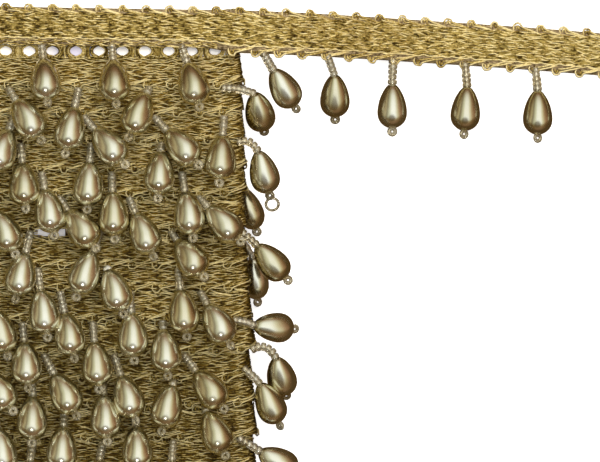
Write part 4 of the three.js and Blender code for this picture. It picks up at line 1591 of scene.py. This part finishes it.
# %% The window's colours
# along the arch: degrees from the horizon beyond the trim's upper edge, over the top, to the horizon
# below it; across it: degrees from the far left, over the middle, to the far right; both with the
# colour there
ARCH_STOPS = [
    (0, (0.12, 0.05, 0.03)),
    (14, (0.17, 0.09, 0.05)),
    (26, (0.49, 0.44, 0.36)),
    (46, (0.85, 0.86, 0.81)),
    (75, (1.0, 1.0, 0.98)),
    (120, (0.97, 1.0, 1.0)),
    (136, (0.36, 0.30, 0.19)),
    (150, (0.17, 0.105, 0.06)),
    (180, (0.09, 0.045, 0.028)),
]
ACROSS_STOPS = [
    (0, (0.10, 0.065, 0.04)),
    (16, (0.25, 0.195, 0.11)),
    (30, (0.46, 0.41, 0.25)),
    (40, (0.16, 0.14, 0.09)),
    (47, (0.13, 0.12, 0.09)),
    (58, (0.46, 0.47, 0.35)),
    (72, (0.66, 0.68, 0.55)),
    (81, (0.97, 1.0, 0.99)),
    (112, (0.98, 1.0, 1.0)),
    (126, (0.70, 0.67, 0.50)),
    (137, (0.48, 0.40, 0.25)),
    (146, (0.34, 0.225, 0.13)),
    (160, (0.23, 0.12, 0.07)),
    (180, (0.13, 0.06, 0.035)),
]
HALF_TURN = 180
WINDOW_MIDDLE = 98
# the window is narrower towards the far end of the arch: so many times, between these two angles along
# it
NARROWING = 1.5
NARROWING_ARCH = (20, 100)
print("stops along the window's arch and across it:", len(ARCH_STOPS), len(ACROSS_STOPS))

# %% Angles in the room
world = bpy.data.worlds.new("warm_room")
world.use_nodes = True
nodes, links = world.node_tree.nodes, world.node_tree.links


def add_math(operation, first, second=None):
    """One step of arithmetic on sockets or numbers."""
    step = nodes.new("ShaderNodeMath")
    step.operation = operation
    for socket, value in zip(step.inputs, (first, second)):
        if isinstance(value, (int, float)):
            socket.default_value = value
        elif value is not None:
            links.new(value, socket)
    return step.outputs["Value"]


direction = nodes.new("ShaderNodeTexCoord").outputs["Generated"]
parts = nodes.new("ShaderNodeSeparateXYZ")
links.new(direction, parts.inputs["Vector"])
arch_angle = add_math("ARCTAN2", parts.outputs["Z"], parts.outputs["Y"])
across_angle = add_math("ADD", add_math("ARCSINE", parts.outputs["X"]), np.pi / 2)
narrowing = nodes.new("ShaderNodeMapRange")
narrowing.inputs["From Min"].default_value = np.radians(NARROWING_ARCH[0])
narrowing.inputs["From Max"].default_value = np.radians(NARROWING_ARCH[1])
narrowing.inputs["To Min"].default_value = NARROWING
narrowing.inputs["To Max"].default_value = 1
links.new(arch_angle, narrowing.inputs["Value"])
from_middle = add_math("SUBTRACT", across_angle, np.radians(WINDOW_MIDDLE))
widened = add_math("MULTIPLY", from_middle, narrowing.outputs["Result"])
window_angle = add_math("ADD", widened, np.radians(WINDOW_MIDDLE))
print("nodes for the angles:", len(nodes))

# %% [markdown]
# Near the camera hangs a small lamp, which makes the bright spot at the foot of each pearl. A dark ring
# lies round that spot in the photograph. A real disc could be hung there, but it would shade the braid
# as well, so the window is dimmed in a circle round the lamp's direction. Below the horizon there is
# only the warm colour of the room.

# %% The window's light, the dark ring and the room
WINDOW_BRIGHTNESS = 1.07
ROOM_COLOUR = (0.086, 0.052, 0.02)
SPOT_DIRECTION = (-0.06, -0.62, 0.78)
# cosines of the angle from the lamp's direction: where the ring begins and where it is full
RING_TONES = [(0.87, (1.0, 1.0, 1.0)), (0.935, (0.2, 0.2, 0.2))]


def add_profile(angle, stops):
    """A colour that changes with an angle over a half turn."""
    tones = [(place / HALF_TURN, colour) for place, colour in stops]
    return add_ramp(nodes, links, add_math("DIVIDE", angle, np.pi), tones)


crossed = nodes.new("ShaderNodeVectorMath")
crossed.operation = "MULTIPLY"
links.new(add_profile(arch_angle, ARCH_STOPS), crossed.inputs[0])
links.new(add_profile(window_angle, ACROSS_STOPS), crossed.inputs[1])
toward_spot = nodes.new("ShaderNodeVectorMath")
toward_spot.operation = "DOT_PRODUCT"
toward_spot.inputs[1].default_value = Vector(SPOT_DIRECTION).normalized()
links.new(direction, toward_spot.inputs[0])
unshaded = add_ramp(nodes, links, toward_spot.outputs["Value"], RING_TONES)
above = add_math("GREATER_THAN", parts.outputs["Z"], 0)
brightness = add_math("MULTIPLY", above, WINDOW_BRIGHTNESS)
window = nodes.new("ShaderNodeVectorMath")
window.operation = "SCALE"
links.new(crossed.outputs["Vector"], window.inputs["Vector"])
links.new(add_math("MULTIPLY", unshaded, brightness), window.inputs["Scale"])
room = nodes.new("ShaderNodeVectorMath")
room.operation = "ADD"
room.inputs[1].default_value = ROOM_COLOUR
links.new(window.outputs["Vector"], room.inputs[0])
links.new(room.outputs["Vector"], nodes["Background"].inputs["Color"])
bpy.context.scene.world = world
print("nodes of the room:", len(nodes))

# %% [markdown]
# Two soft panels add to the room. The small lamp near the camera makes the spot, and only on the pearls
# of the front: the pearls that hang past the side or lie on the table show none in the photograph, and
# those of the back hardly show. Light linking leaves all of these out of the lamp's light. A close panel
# beyond the upper edge is the key light. It rakes over the braid and brings out its strands, and it is
# kept out of reflections, because the pearls have the window to mirror.

# %% A lamp for the spot and a key light
# distances and sizes of the panels are in metres
LAMP_DISTANCE = 1.2
LAMP_SIZE = (0.14, 0.14)
LAMP_BRIGHTNESS = 18
LAMP_COLOUR = (1.0, 1.0, 0.96)
KEY_DIRECTION = (0.1, 0.66, 0.75)
KEY_DISTANCE = 0.22
KEY_SIZE = (0.3, 0.2)
KEY_BRIGHTNESS = 4.3
KEY_COLOUR = (1.0, 0.93, 0.8)


def add_panel(name, toward, distance, size, brightness, colour):
    """A soft light that faces the trim, in metres. brightness: of its face as a camera sees it."""
    light = bpy.data.lights.new(name, "AREA")
    light.shape = "RECTANGLE"
    light.size, light.size_y = size
    light.energy = brightness * np.pi * size[0] * size[1]
    light.color = colour
    panel = bpy.data.objects.new(name, light)
    toward = Vector(toward).normalized()
    panel.location = picture_middle + toward * distance
    panel.rotation_euler = toward.to_track_quat("Z", "Y").to_euler()
    bpy.context.scene.collection.objects.link(panel)
    return panel


lamp = add_panel("lamp", SPOT_DIRECTION, LAMP_DISTANCE, LAMP_SIZE, LAMP_BRIGHTNESS, LAMP_COLOUR)
key = add_panel("key", KEY_DIRECTION, KEY_DISTANCE, KEY_SIZE, KEY_BRIGHTNESS, KEY_COLOUR)
key.visible_glossy = False
key.visible_camera = False
spotless = bpy.data.collections.new("spotless_pearls")
for piece in (side_pieces[0], back_pieces[0], loose_pieces[0]):
    spotless.objects.link(piece)
for member in spotless.collection_objects:
    member.light_linking.link_state = "EXCLUDE"
lamp.light_linking.receiver_collection = spotless
print("lights:", lamp.name, key.name)
